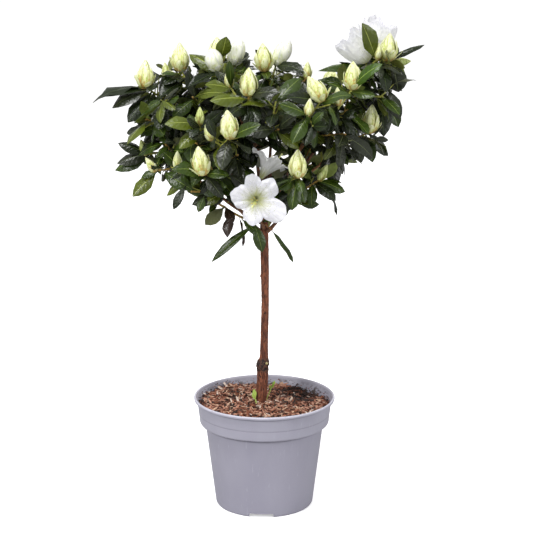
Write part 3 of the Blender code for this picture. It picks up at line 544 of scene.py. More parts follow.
def makePot():
    p = potForm
    bm = bmesh.new()
    line = [bm.verts.new((radius, 0, height)) for radius, height in potProfile()]
    for pair in zip(line, line[1:]):
        bm.edges.new(pair)
    bmesh.ops.bevel(
        bm, geom=line[6:10] + line[11:21], offset=p["rounding"], offset_type="OFFSET", segments=3,
        profile=0.5, affect="VERTICES", material=-1,
    )
    bmesh.ops.spin(
        bm, geom=bm.verts[:] + bm.edges[:], axis=(0, 0, 1), cent=(0, 0, 0), angle=math.tau,
        steps=p["steps"], use_merge=True,
    )
    bmesh.ops.remove_doubles(bm, verts=bm.verts, dist=0.00001)
    bmesh.ops.recalc_face_normals(bm, faces=bm.faces)
    mesh = meshFrom("pot_moulded", bm, p["smoothAngle"])
    pot = layPiece("pot_moulded", mesh, [potPlastic()], "pot_plastic", "pot")
    # notches in the foot ring, and drain holes between them
    cutters = []
    for number in range(p["notchCount"]):
        bm = bmesh.new()
        bmesh.ops.create_cube(bm, size=1)
        bmesh.ops.scale(bm, vec=(p["notchReach"], p["notchWidth"], p["footHeight"] * 2.5), verts=bm.verts)
        bmesh.ops.scale(bm, vec=(1, 0.92, 1), verts=[vert for vert in bm.verts if vert.co.z > 0])
        turn = Matrix.Rotation(math.radians(p["notchTurn"] + 360 * number / p["notchCount"]), 4, "Z")
        bmesh.ops.transform(bm, matrix=turn @ Matrix.Translation((p["footRadius"], 0, 0)), verts=bm.verts)
        cutters.append(bm)
    for number in range(p["drainCount"]):
        bm = bmesh.new()
        radius = p["drainRadius"]
        bmesh.ops.create_cone(bm, cap_ends=True, segments=24, radius1=radius, radius2=radius, depth=0.006)
        turn = math.radians(p["notchTurn"] + 360 * (number + 0.5) / p["drainCount"])
        bmesh.ops.translate(bm, vec=roundSpot(p["drainRing"], turn, p["footHeight"]), verts=bm.verts)
        cutters.append(bm)
    for number, bm in enumerate(cutters):
        mesh = bpy.data.meshes.new("cutter")
        bm.to_mesh(mesh)
        bm.free()
        cutters[number] = layObject("cutter", mesh, ())
        cut = pot.modifiers.new("cut", "BOOLEAN")
        cut.operation = "DIFFERENCE"
        cut.object = cutters[number]
        cut.solver = "EXACT"
    graph = bpy.context.evaluated_depsgraph_get()
    pot.data = bpy.data.meshes.new_from_object(pot.evaluated_get(graph))
    pot.modifiers.clear()
    pot.data.set_sharp_from_angle(angle=math.radians(p["smoothAngle"]))
    for cutter in cutters:
        bpy.data.objects.remove(cutter)


# potting mix

soilForm = {
    "top": 0.1104,
    "edgeTop": 0.1094,
    "edgeRadius": 0.0683,
    "slope": -0.022,
    "gap": 0.0003,
    "seed": 7,
    "sides": 120,
    "rings": 56,
    "swell": 0.0022,
    "grain": 0.0011,
    "hollowPlace": (0.036, 0.030),
    "hollowWidth": 0.030,
    "hollowDepth": 0.0042,
    "mix": {
        "colours": ((0.018, 0.007, 0.005), (0.055, 0.020, 0.012), (0.13, 0.060, 0.038)),
        "roughness": (0.8, 0.95), "scale": 260, "reliefScale": 900, "relief": 0.0012,
    },
}
chipForm = {
    "styles": 10,
    # bark chips, long splinters, and crumbs on the pot's wall: count, length, width and thickness
    "chips": (2300, (0.0020, 0.0074), (0.0010, 0.0027), (0.0004, 0.0012)),
    "splinters": (380, (0.007, 0.014), (0.0010, 0.0026)),
    "crumbs": (260, (0.0006, 0.0018), (0.0005, 0.0009)),
    "trunkPlace": -0.0026,
    "trunkGap": 0.0062,
    # each colour, its second colour and how often a chip has it
    "tones": {
        "chipRust": ((0.306, 0.104, 0.050), (0.16, 0.050, 0.026), 30),
        "chipBrown": ((0.160, 0.053, 0.029), (0.074, 0.024, 0.013), 24),
        "chipDark": ((0.014, 0.006, 0.004), (0.036, 0.014, 0.009), 24),
        "chipRose": ((0.57, 0.300, 0.205), (0.38, 0.155, 0.095), 22),
        "chipTan": ((0.66, 0.43, 0.30), (0.45, 0.25, 0.155), 6),
        "chipPale": ((0.78, 0.66, 0.58), (0.60, 0.44, 0.34), 1),
    },
    "finish": {"roughness": (0.7, 0.92), "scale": 500, "reliefScale": 1300, "relief": 0.0004},
}


def fromHollow(x, y):
    return math.hypot(x - soilForm["hollowPlace"][0], y - soilForm["hollowPlace"][1])


def soilHeight(x, y):
    # height of the potting mix, with its swells and the hollow behind on the right
    s = soilForm
    reach = min(1.0, math.hypot(x, y) / s["edgeRadius"])
    base = s["top"] + (s["edgeTop"] - s["top"]) * reach**3 + s["slope"] * x
    swell = s["swell"] * noise.noise(Vector((x * 42, y * 42, 1.7)))
    away = fromHollow(x, y) / s["hollowWidth"]
    return base + swell - s["hollowDepth"] * max(0.0, 1 - away**2) ** 1.5


def soilStages():
    # past its surface, the mix's edge and underside: row, radius and height
    s, floor, band = soilForm, potForm["floorTop"], potForm["bandBottom"]
    return {
        1.0: (s["edgeRadius"], None),
        1.03: (s["edgeRadius"] - 0.0004, band + 0.0020),
        1.06: (innerWall(band) - s["gap"], band + s["gap"]),
        1.09: (innerWall(0.008) - s["gap"], 0.008),
        1.12: (innerWall(0.008) - 0.0020, floor + s["gap"]),
        1.15: (0.0, floor + s["gap"]),
    }


def soilPoint(across, along):
    turn = across * math.tau
    if along < 1.0:
        radius = along * soilForm["edgeRadius"]
        x, y = radius * math.cos(turn), radius * math.sin(turn)
        grain = soilForm["grain"] * noise.noise(Vector((x * 330, y * 330, 0.3))) * min(1.0, radius / 0.01)
        return x, y, soilHeight(x, y) + grain
    radius, height = soilStages()[along]
    x, y = radius * math.cos(turn), radius * math.sin(turn)
    return x, y, soilHeight(x, y) if height is None else height


def chipShape(seed):
    # an irregular flake with split ends
    dice = random.Random(seed)
    bm = bmesh.new()
    bmesh.ops.create_cube(bm, size=1)
    for vert in bm.verts:
        vert.co.x *= dice.uniform(0.55, 1.15)
        vert.co.y += dice.uniform(-0.20, 0.20)
        vert.co.z *= dice.uniform(0.5, 1.2)
    bmesh.ops.triangulate(bm, faces=bm.faces)
    return shapeOf(bm)


def makeSoil():
    s = soilForm
    bm = bmesh.new()
    layPatch(bm, evenSteps(s["sides"]), evenSteps(s["rings"])[:-1] + list(soilStages()), soilPoint)
    bmesh.ops.remove_doubles(bm, verts=bm.verts, dist=0.00002)
    bmesh.ops.dissolve_degenerate(bm, edges=bm.edges, dist=0.000001)
    bmesh.ops.recalc_face_normals(bm, faces=bm.faces)
    material = mottledSurface("pottingMix", s["mix"])
    layPiece("potting_mix", meshFrom("potting_mix", bm), [material], "potting_mix", "soil")


def makeChips():
    edge, c = soilForm["edgeRadius"], chipForm
    dice = random.Random(soilForm["seed"])
    shapes = [chipShape(soilForm["seed"] + number) for number in range(c["styles"])]
    materials = [
        mottledSurface(name, {"colours": (first, second)} | c["finish"])
        for name, (first, second, _) in c["tones"].items()
    ]
    often = [tone[2] for tone in c["tones"].values()]
    splintersFrom = c["chips"][0]
    crumbsFrom = splintersFrom + c["splinters"][0]
    pile = newPile()
    for number in range(crumbsFrom + c["crumbs"][0]):
        turn, radius = dice.uniform(0, math.tau), edge * math.sqrt(dice.random()) * 0.985
        x, y = radius * math.cos(turn), radius * math.sin(turn)
        height = soilHeight(x, y) + dice.uniform(-0.0004, 0.0016)
        length, width, thick = (dice.uniform(*limits) for limits in c["chips"][1:])
        tone = dice.choices(range(len(often)), often)[0]
        if splintersFrom <= number < crumbsFrom:
            length, width, thick = (*(dice.uniform(*limits) for limits in c["splinters"][1:]), 0.0008)
            radius = min(radius, edge - length / 2)
            x, y = radius * math.cos(turn), radius * math.sin(turn)
            height = soilHeight(x, y) + 0.0010
            tone = dice.choices((0, 3, 4, 5), (3, 5, 4, 2))[0]
        if fromHollow(x, y) < soilForm["hollowWidth"] * 0.85 and dice.random() < 0.72:
            tone = dice.choice((1, 2, 2))
        if number >= crumbsFrom:
            rise = 0.0065 * dice.random() ** 1.6
            radius = edge + 0.0008 + rise * 0.11
            x, y = radius * math.cos(turn), radius * math.sin(turn)
            height = soilHeight(x, y) + rise
            length, width, thick = (*(dice.uniform(*limits) for limits in c["crumbs"][1:]), 0.0005)
            tone = dice.choice((0, 1, 2))
        if math.hypot(x - c["trunkPlace"], y) < c["trunkGap"]:
            continue
        tilt = Matrix.Rotation(dice.uniform(-0.5, 0.5), 4, "X")
        tilt = tilt @ Matrix.Rotation(dice.uniform(-0.4, 0.4), 4, "Y")
        spin = Matrix.Rotation(dice.uniform(0, math.tau), 4, "Z")
        turned = Matrix.Translation((x, y, height)) @ spin @ tilt
        addToPile(pile, dice.choice(shapes), turned @ Matrix.Diagonal((width, length, thick, 1)), [tone])
    layPiece("bark_chips", meshFromPile("bark_chips", pile, 25), materials, "potting_mix")


makePot()
makeSoil()
makeChips()
print("pot and potting mix made")


# the plant: trunk, boughs and masses of foliage, grown by the source's rule

trunkForm = {
    "foot": 0.1083,
    "stations": (
        # height above the potting mix, sideways shift in X and Y, radius
        (0.000, -0.0026, 0.000, 0.0076),
        (0.006, -0.0026, 0.000, 0.0063),
        (0.030, -0.0020, 0.000, 0.0060),
        (0.046, -0.0018, 0.000, 0.0057),
        (0.053, -0.0006, 0.000, 0.0044),
        (0.080, 0.0000, 0.000, 0.0041),
        (0.115, 0.0010, 0.001, 0.0040),
        (0.150, 0.0006, 0.001, 0.0043),
        (0.185, 0.0000, 0.000, 0.0046),
        (0.215, 0.0000, 0.001, 0.0042),
        (0.238, 0.0010, 0.002, 0.0034),
    ),
}
boughForm = {
    "lowest": 0.292,
    "highest": 0.341,
    "step": 0.0035,
    "baseRadius": 0.0022,
    "leader": "centre_left",
    "leaderRadius": 0.0029,
    "leaderShare": 0.56,
    "tipRadius": 0.0014,
    "points": 6,
    "shares": (0.52, 0.40, 0.62),
    "sags": (0.30, 0.45, 0.15, 0.60, 0.80),
    "gap": 0.0003,
}
twigForm = {
    "stemShares": (0.45, 0.60, 0.30, 0.80, 0.20),
    "radius": 0.0011,
    "tipRadius": 0.0009,
    "forkShare": 0.6,
    "detour": 0.45,
    "nearestFork": 0.008,
    "lap": 0.0004,
    "clearance": 0.0004,
}
leafForm = {
    "count": 5,
    "length": (0.032, 0.046),
    "width": 0.44,
    "thickness": 0.035,
    "widest": 0.54,
    "arch": 0.07,
    "start": 0.0024,
    "pitch": 0.0024,
    "droop": 0.45,
    "spread": (math.radians(58), math.radians(98)),
    "tries": 8,
    "turn": 0.35,
    "setNudge": 0.12,
    "shrink": 0.96,
    "stalk": 0.12,
    "setStalk": 0.36,
    "faceRise": 0.6,
    "roll": 0.6,
    "sink": 0.0002,
    "golden": math.radians(137.5),
    "setFace": Vector((0.0, -0.7, 0.7)),
}
crownForm = {
    "seed": 41,
    "heart": Vector((0.0, 0.0, 0.380)),
    "spacing": 0.027,
    "rise": 0.35,
    "inner": 0.45,
    "tries": 400,
    "floor": 0.328,
    "floorStart": 0.080,
    "floorSlope": 0.9,
}
# length and greatest radius of what a shoot carries
bloomSizes = {
    "bud": (0.028, 0.0098),
    "pale_bud": (0.028, 0.0098),
    "small_bud": (0.017, 0.0052),
    "white_bud": (0.031, 0.0094),
    "flower": (0.033, 0.0150),
    "bell": (0.032, 0.0155),
}
bloomForm = {
    "shoulder": 0.72,
    "sink": 0.0015,
    "foot": 1.4,
    "tube": 0.018,
    "throat": 0.014,
    "mouth": 0.42,
    "petals": 5,
    "flare": math.radians(66),
    "turn": math.radians(-7),
    "petalWidth": 0.84,
    "petalThickness": 0.05,
    "petalWidest": 0.62,
    "petalArch": 0.10,
}

# each mass: its middle, how far its shoots spread from there, how many plain shoots fill it, and its
# own shoots: what one carries, where, which way it points, and its leaves whose tips are set, from the
# shoot's end, some with a width over length
masses = {
    "left_tip": {
        "centre": (-0.112, -0.008, 0.434),
        "reach": (0.030, 0.034, 0.022),
        "fill": 3,
        "shoots": (
            ("bud", (-0.121, -0.010, 0.450), (0.03, 0.0, 1.0),
             ((-0.053, -0.008, -0.015), (-0.045, -0.012, -0.006), (-0.033, -0.010, -0.020),
              (-0.017, -0.014, -0.034), (0.008, -0.020, -0.030))),
            (None, (-0.110, 0.010, 0.440), (0.3, 0.2, 1.0),
             ((0.012, -0.010, 0.022), (-0.020, -0.016, -0.024))),
        ),
    },
    "left_top": {
        "centre": (-0.080, 0.008, 0.448),
        "reach": (0.034, 0.038, 0.022),
        "fill": 3,
        "shoots": (
            ("bud", (-0.085, 0.000, 0.466), (-0.04, 0.0, 1.0), ((-0.016, -0.022, -0.012),)),
            ("small_bud", (-0.100, 0.010, 0.456), (-0.1, 0.0, 1.0), ()),
            (None, (-0.072, -0.026, 0.442), (0.3, -0.8, 0.3),
             ((0.042, -0.030, 0.006, 0.30), (-0.020, -0.016, -0.018))),
        ),
    },
    "centre_left": {
        "centre": (-0.038, -0.008, 0.456),
        "reach": (0.034, 0.036, 0.018),
        "fill": 2,
        "shoots": (
            ("pale_bud", (-0.048, -0.022, 0.469), (-0.26, 0.0, 1.0),
             ((-0.028, -0.023, -0.014, 0.28), (-0.028, 0.016, 0.014))),
            ("bud", (-0.048, 0.012, 0.472), (-0.02, 0.1, 1.0), ()),
            ("white_bud", (-0.033, 0.002, 0.471), (0.37, 0.0, 1.0),
             ((-0.006, -0.032, 0.032), (0.014, -0.024, -0.004))),
        ),
    },
    "centre_right": {
        "centre": (0.014, 0.004, 0.452),
        "reach": (0.036, 0.040, 0.018),
        "fill": 3,
        "shoots": (
            ("bud", (0.000, -0.004, 0.467), (-0.06, 0.0, 1.0), ((0.004, -0.026, -0.006),)),
            ("white_bud", (0.012, 0.000, 0.472), (0.54, 0.0, 1.0), ((0.028, -0.024, -0.005),)),
            ("small_bud", (0.043, -0.016, 0.460), (0.05, 0.0, 1.0),
             ((0.024, -0.018, -0.012), (-0.010, -0.026, -0.014))),
        ),
    },
    "centre_front": {
        "centre": (-0.014, -0.060, 0.430),
        "reach": (0.040, 0.030, 0.024),
        "fill": 3,
        "shoots": (
            ("bud", (-0.015, -0.066, 0.450), (0.0, -0.05, 1.0),
             ((0.030, -0.016, 0.004), (-0.038, -0.014, -0.004), (0.010, -0.022, -0.024))),
            ("small_bud", (-0.034, -0.050, 0.456), (-0.15, 0.0, 1.0),
             ((0.000, -0.020, 0.028, 0.26), (-0.024, -0.018, 0.004))),
            (None, (0.014, -0.082, 0.418), (0.4, -0.7, 0.4),
             ((-0.034, -0.012, -0.004), (0.020, -0.012, 0.018))),
        ),
    },
    "right_top": {
        "centre": (0.110, -0.006, 0.452),
        "reach": (0.030, 0.036, 0.024),
        "fill": 3,
        "shoots": (
            ("bell", (0.105, -0.012, 0.478), (-0.77, 0.0, 0.64),
             ((-0.052, -0.020, -0.004, 0.34), (-0.024, -0.018, -0.012))),
            ("bell", (0.113, 0.014, 0.480), (0.16, 0.10, 1.0), ((0.022, 0.012, -0.014),)),
            ("small_bud", (0.114, -0.022, 0.480), (0.06, 0.0, 1.0),
             ((-0.017, -0.012, 0.037), (0.002, -0.020, -0.018))),
            ("bud", (0.124, -0.014, 0.478), (0.10, 0.0, 1.0), ((0.038, 0.004, 0.015, 0.20),)),
            ("small_bud", (0.132, -0.004, 0.474), (1.0, 0.0, 0.10),
             ((0.005, -0.024, -0.026, 0.6), (0.011, -0.008, -0.014))),
            (None, (0.126, 0.006, 0.438), (0.7, -0.2, 0.2),
             ((0.012, -0.004, -0.031), (0.014, -0.012, -0.008), (-0.004, -0.020, -0.038))),
        ),
    },
    "right_front": {
        "centre": (0.064, -0.056, 0.430),
        "reach": (0.036, 0.030, 0.024),
        "fill": 3,
        "shoots": (
            ("bud", (0.057, -0.074, 0.446), (-0.62, 0.0, 1.0),
             ((-0.036, -0.010, 0.004), (0.004, -0.018, -0.030))),
            ("small_bud", (0.073, -0.060, 0.440), (-0.05, 0.0, 1.0), ((-0.012, -0.018, -0.028),)),
            ("bud", (0.088, -0.048, 0.454), (0.0, 0.0, 1.0),
             ((0.028, -0.014, 0.026), (0.022, -0.014, -0.006), (-0.026, -0.010, 0.004))),
            ("small_bud", (0.043, -0.090, 0.434), (0.1, -0.1, 1.0),
             ((-0.030, -0.010, 0.010), (-0.016, -0.014, -0.026))),
        ),
    },
    "left_front": {
        "centre": (-0.046, -0.070, 0.406),
        "reach": (0.034, 0.030, 0.024),
        "fill": 3,
        "shoots": (
            ("small_bud", (-0.063, -0.072, 0.422), (0.0, 0.0, 1.0),
             ((-0.034, -0.014, 0.002), (-0.020, -0.016, -0.022))),
            ("bud", (-0.033, -0.100, 0.413), (-0.10, -0.06, 1.0),
             ((0.030, -0.008, 0.014), (-0.008, -0.020, -0.028))),
            ("small_bud", (-0.052, -0.080, 0.408), (-0.35, 0.0, 1.0), ()),
        ),
    },
    "left_low": {
        "centre": (-0.104, -0.034, 0.380),
        "reach": (0.030, 0.030, 0.022),
        "fill": 2,
        "shoots": (
            ("small_bud", (-0.086, -0.066, 0.377), (0.0, 0.0, 1.0),
             ((-0.004, -0.012, -0.038), (-0.006, -0.004, -0.032))),
            ("small_bud", (-0.110, -0.040, 0.369), (-0.7, 0.0, 1.0),
             ((-0.023, -0.006, -0.025), (-0.014, -0.004, -0.006))),
            ("small_bud", (-0.121, -0.018, 0.382), (-0.3, 0.0, 1.0),
             ((-0.028, 0.000, 0.012), (-0.029, -0.006, -0.008), (-0.032, 0.004, -0.017))),
            (None, (-0.098, 0.000, 0.402), (-0.6, 0.0, 0.6),
             ((-0.030, -0.008, 0.006), (-0.026, -0.010, -0.009))),
        ),
    },
    "left_front_low": {
        "centre": (-0.056, -0.068, 0.366),
        "reach": (0.032, 0.026, 0.018),
        "fill": 2,
        "shoots": (
            ("bud", (-0.060, -0.093, 0.376), (-0.16, -0.04, 1.0),
             ((0.026, -0.009, 0.000), (0.020, -0.006, -0.023), (-0.002, -0.006, -0.035), (-0.030, -0.010, 0.006))),
            (None, (-0.038, -0.062, 0.352), (-0.4, -0.6, 0.1),
             ((-0.022, 0.000, -0.024), (-0.008, 0.004, -0.032), (0.014, 0.008, -0.036), (-0.032, -0.006, -0.014))),
        ),
    },
    "centre_low": {
        "centre": (-0.004, -0.064, 0.362),
        "reach": (0.026, 0.024, 0.014),
        "fill": 1,
        "shoots": (
            ("flower", (-0.008, -0.092, 0.351), (0.0, -1.0, 0.12), ()),
            ("bell", (-0.003, -0.060, 0.366), (0.45, -0.20, 0.85), ((0.034, -0.018, -0.002),)),
        ),
    },
    "right_low": {
        "centre": (0.048, -0.062, 0.366),
        "reach": (0.028, 0.026, 0.018),
        "fill": 3,
        "shoots": (
            ("bud", (0.033, -0.090, 0.373), (0.0, -0.04, 1.0),
             ((0.004, -0.016, -0.013), (-0.006, -0.006, -0.033), (0.009, -0.004, -0.025), (-0.020, -0.008, -0.012))),
            ("small_bud", (0.055, -0.060, 0.364), (0.52, 0.0, 1.0),
             ((0.026, -0.002, -0.012), (0.018, -0.004, -0.036), (0.021, -0.010, -0.016))),
        ),
    },
    "right_mid": {
        "centre": (0.092, -0.022, 0.406),
        "reach": (0.028, 0.030, 0.022),
        "fill": 3,
        "shoots": (
            ("bud", (0.107, -0.022, 0.406), (0.08, 0.0, 1.0),
             ((0.020, 0.008, -0.026), (0.003, -0.008, -0.030), (-0.014, -0.010, -0.027))),
            (None, (0.066, -0.042, 0.392), (0.4, -0.7, 0.3),
             ((0.013, -0.006, -0.025), (-0.006, -0.016, -0.004))),
        ),
    },
    "low_tuft": {
        "centre": (-0.004, -0.036, 0.318),
        "reach": (0.012, 0.008, 0.006),
        "fill": 0,
        "shoots": (
            (None, (-0.012, -0.034, 0.312), (-0.4, -0.7, 0.3),
             ((0.010, -0.002, -0.028), (-0.042, -0.004, -0.038, 0.22))),
            (None, (0.008, -0.030, 0.306), (0.4, -0.7, 0.1), ((0.022, 0.006, -0.036, 0.20),)),
        ),
    },
    "back_left": {
        "centre": (-0.088, 0.066, 0.420),
        "reach": (0.042, 0.038, 0.026),
        "fill": 6,
        "shoots": (
            ("bud", (-0.098, 0.070, 0.432), (-0.10, 0.10, 1.0), ()),
            ("small_bud", (-0.076, 0.096, 0.424), (-0.1, 0.3, 1.0), ()),
        ),
    },
    "back_centre": {
        "centre": (-0.018, 0.080, 0.428),
        "reach": (0.042, 0.036, 0.026),
        "fill": 5,
        "shoots": (
            ("bud", (-0.034, 0.092, 0.440), (0.0, 0.15, 1.0), ()),
            ("white_bud", (0.006, 0.080, 0.436), (0.2, 0.3, 1.0), ()),
            ("bud", (-0.004, 0.110, 0.414), (0.1, 0.5, 1.0), ()),
        ),
    },
    "back_right": {
        "centre": (0.066, 0.068, 0.424),
        "reach": (0.040, 0.038, 0.026),
        "fill": 6,
        "shoots": (
            ("bud", (0.070, 0.084, 0.432), (0.10, 0.2, 1.0), ()),
            ("small_bud", (0.098, 0.060, 0.430), (0.3, 0.2, 1.0), ()),
        ),
    },
    "back_left_low": {
        "centre": (-0.056, 0.064, 0.374),
        "reach": (0.042, 0.032, 0.024),
        "fill": 4,
        "shoots": (
            ("bud", (-0.062, 0.092, 0.386), (-0.1, 0.4, 1.0), ()),
        ),
    },
    "back_right_low": {
        "centre": (0.044, 0.064, 0.370),
        "reach": (0.040, 0.032, 0.024),
        "fill": 4,
        "shoots": (
            ("bud", (0.036, 0.092, 0.380), (0.05, 0.4, 1.0), ()),
        ),
    },
}


def trunkPoints():
    return [Vector((x, y, trunkForm["foot"] + height)) for height, x, y, _ in trunkForm["stations"]]


def trunkRadii():
    return [station[3] for station in trunkForm["stations"]]


def trunkAt(height):
    # the trunk's middle and its greatest radius near a height
    points, radii = trunkPoints(), trunkRadii()
    for low, high, *near in zip(points, points[1:], radii, radii[1:]):
        if low.z <= height <= high.z:
            return low.lerp(high, (height - low.z) / (high.z - low.z)), max(near)
    return points[-1].copy(), radii[-1]


def plainLimb(points, radii, resolution=1):
    # a bevelled curve as a bare mesh, for finding clear ways
    data = bpy.data.curves.new("guide", "CURVE")
    data.dimensions = "3D"
    data.fill_mode = "FULL"
    data.bevel_depth = 1.0
    data.bevel_resolution = resolution
    data.use_fill_caps = True
    spline = data.splines.new("POLY")
    spline.points.add(len(points) - 1)
    for point, place, radius in zip(spline.points, points, radii):
        point.co = (*place, 1.0)
        point.radius = radius
    guide = layObject("guide", data, ())
    graph = bpy.context.evaluated_depsgraph_get()
    mesh = bpy.data.meshes.new_from_object(guide.evaluated_get(graph))
    bm = bmesh.new()
    bm.from_mesh(mesh)
    bmesh.ops.remove_doubles(bm, verts=bm.verts, dist=0.00001)
    bpy.data.objects.remove(guide)
    bpy.data.curves.remove(data)
    bpy.data.meshes.remove(mesh)
    return outlineOf(bm)


def outlineOf(bm):
    bm.verts.index_update()
    outline = [vert.co.copy() for vert in bm.verts], [[v.index for v in face.verts] for face in bm.faces]
    bm.free()
    return outline


def obstacleOf(*outlines):
    # a search tree over some outlines, with a ball round it for quick tests
    points, faces = [], []
    for somePoints, someFaces in outlines:
        start = len(points)
        points += somePoints
        faces += [[start + index for index in face] for face in someFaces]
    low, high = (Vector([pick(point[axis] for point in points) for axis in range(3)]) for pick in (min, max))
    return BVHTree.FromPolygons(points, faces), (low + high) / 2, (high - low).length / 2


def crosses(test, obstacles):
    tree, middle, reach = test
    for other, centre, size in obstacles:
        if (centre - middle).length < reach + size and tree.overlap(other):
            return True
    return False


def boughCurve(foot, bend, tip):
    steps = evenSteps(boughForm["points"] - 1)
    return [foot * (1 - t) ** 2 + bend * 2 * t * (1 - t) + tip * t**2 for t in steps]


def boughPoints(centre, height, sag, share):
    # from just outside the trunk, out and then up to the near side of a mass
    axis, radius = trunkAt(height)
    tip = axis.lerp(centre, share)
    bend = axis.lerp(tip, 0.5)
    bend.z = axis.z + (tip.z - axis.z) * sag
    rise = (bend - axis).normalized().z
    outward = Vector((centre.x - axis.x, centre.y - axis.y, 0)).normalized()
    foot = axis + outward * (radius + boughForm["gap"] + boughForm["baseRadius"] * abs(rise))
    return boughCurve(foot, bend, tip)


def leaderPoints(centre):
    foot = trunkPoints()[-1] + boughForm["gap"] * up
    tip = foot.lerp(centre, boughForm["leaderShare"])
    return boughCurve(foot, foot + (tip - foot).length * 0.5 * up, tip)


def boughRadii(base, wider=0.0):
    return [base + t * (boughForm["tipRadius"] - base) + wider for t in evenSteps(boughForm["points"] - 1)]


def growBoughs():
    # every bough's line and radii, each clear of the trunk and of the others
    b = boughForm
    lowestFirst = sorted(masses, key=lambda name: masses[name]["centre"][2])
    lowestFirst.remove(b["leader"])
    leaderWay = leaderPoints(Vector(masses[b["leader"]]["centre"]))
    boughs = {b["leader"]: (leaderWay, boughRadii(b["leaderRadius"]))}
    made = [plainLimb(trunkPoints(), trunkRadii(), 4), plainLimb(*boughs[b["leader"]])]
    count = int((b["highest"] - b["lowest"]) / b["step"]) + 1
    for number, name in enumerate(lowestFirst):
        centre = Vector(masses[name]["centre"])
        wanted = b["lowest"] + (b["highest"] - b["lowest"]) * number / (len(lowestFirst) - 1)
        heights = [b["lowest"] + step * b["step"] for step in range(count)]
        heights.sort(key=lambda height: abs(height - wanted))
        limbs = obstacleOf(*made)
        choices = ((share, height, sag) for share in b["shares"] for height in heights for sag in b["sags"])
        for share, height, sag in choices:
            points = boughPoints(centre, height, sag, share)
            probe = plainLimb(points, boughRadii(b["baseRadius"], b["gap"] * 0.8))
            if not crosses(obstacleOf(probe), [limbs]):
                break
        boughs[name] = (points, boughRadii(b["baseRadius"]))
        made.append(plainLimb(*boughs[name]))
    return boughs, obstacleOf(*made)


def planShoots():
    c = crownForm
    dice = random.Random(c["seed"])
    taken = [Vector(shoot[1]) for mass in masses.values() for shoot in mass["shoots"]]
    plan = {}
    for name, mass in masses.items():
        shoots = [
            {"kind": kind, "place": Vector(place), "aim": Vector(aim).normalized(), "leaves": leaves}
            for kind, place, aim, leaves in mass["shoots"]
        ]
        wanted = len(shoots) + mass["fill"]
        for _ in range(c["tries"]):
            if len(shoots) == wanted:
                break
            offset = Vector([dice.uniform(-1, 1) for _ in range(3)])
            if not c["inner"] < offset.length < 1.0:
                continue
            place = Vector(mass["centre"]) + Vector([offset[i] * mass["reach"][i] for i in range(3)])
            if min((place - other).length for other in taken) < c["spacing"]:
                continue
            aim = (place - c["heart"]).normalized() + c["rise"] * up
            shoots.append({"kind": None, "place": place, "aim": aim.normalized(), "leaves": ()})
            taken.append(place)
        plan[name] = shoots
    return plan


# plain outlines of twigs, leaves and blooms, for keeping them clear of one another


def bladeOutline(length, width, thickness, widest, arch):
    bm = bmesh.new()
    bmesh.ops.create_uvsphere(bm, u_segments=3, v_segments=2, radius=1.0)
    for vert in bm.verts:
        x, y, z = vert.co
        if abs(z) > 0.5:
            vert.co = (0.0, length if z > 0 else 0.0, 0.0)
        else:
            vert.co = (-y * width / math.sqrt(3), widest * length, arch * length - x * thickness)
    return bm


def budOutline(length, radius):
    bm = bmesh.new()
    bmesh.ops.create_uvsphere(bm, u_segments=6, v_segments=3, radius=1.0)
    sink = bloomForm["sink"]
    for vert in bm.verts:
        x, y, z = vert.co
        shoulder = bloomForm["shoulder"] if z > 0 else 1.0
        swell = radius * shoulder / math.hypot(x, y) if abs(z) < 0.9 else 0.0
        vert.co = (x * swell, -sink + (length + sink) * (z + 1) / 2, y * swell)
    bmesh.ops.recalc_face_normals(bm, faces=bm.faces)
    return bm


def tubeOutline(length, radius1, radius2, sides):
    bm = bmesh.new()
    bmesh.ops.create_cone(bm, cap_ends=True, segments=sides, radius1=radius1, radius2=radius2, depth=length)
    bmesh.ops.rotate(bm, matrix=Matrix.Rotation(-math.pi / 2, 3, "X"), verts=bm.verts)
    bmesh.ops.translate(bm, vec=(0, length / 2, 0), verts=bm.verts)
    return bm


def stood(bm, place, along, face):
    bmesh.ops.transform(bm, matrix=aimedMatrix(place, along, face), verts=bm.verts)
    return bm


def twigOutline(start, end, radius1, radius2):
    bm = tubeOutline((end - start).length + twigForm["lap"], radius1, radius2, 3)
    return outlineOf(stood(bm, start, end - start, up))


def flowerParts(length, radius):
    f = bloomForm
    made = [tubeOutline(f["tube"], twigForm["radius"] * f["foot"], radius * f["mouth"], 6)]
    ahead = Vector((0, 1, 0))
    for number in range(f["petals"]):
        turn = math.tau * number / f["petals"] + f["turn"]
        side = Vector((math.cos(turn), 0.0, math.sin(turn)))
        width, thickness = length * f["petalWidth"], length * f["petalThickness"]
        petal = bladeOutline(length, width, thickness, f["petalWidest"], f["petalArch"])
        along = ahead * math.cos(f["flare"]) + side * math.sin(f["flare"])
        made.append(stood(petal, Vector((0, f["throat"], 0)), along, ahead))
    return made


def bloomOutlines(shoot):
    kind, place, aim = shoot["kind"], shoot["place"], shoot["aim"]
    if kind is None:
        return []
    length, radius = bloomSizes[kind]
    if kind == "flower":
        parts, place = flowerParts(length, radius), place - aim * 0.001
    elif kind == "bell":
        parts = [tubeOutline(length, twigForm["radius"] * bloomForm["foot"], radius, 6)]
    else:
        parts = [budOutline(length, radius)]
    return [outlineOf(stood(bm, place, aim, up)) for bm in parts]


def leafOutline(leaf, skip=0.0, thicker=0.0):
    length, along = leaf["length"], leaf["along"]
    width, thickness = length * leaf["width"] + thicker, length * leafForm["thickness"] + thicker
    bm = bladeOutline(length * (1 - skip), width, thickness, leafForm["widest"], leafForm["arch"])
    bmesh.ops.rotate(bm, matrix=Matrix.Rotation(leaf["roll"], 3, "Y"), verts=bm.verts)
    start = leaf["root"] + along * (length * skip - leafForm["sink"])
    return outlineOf(stood(bm, start, along, leaf["face"]))


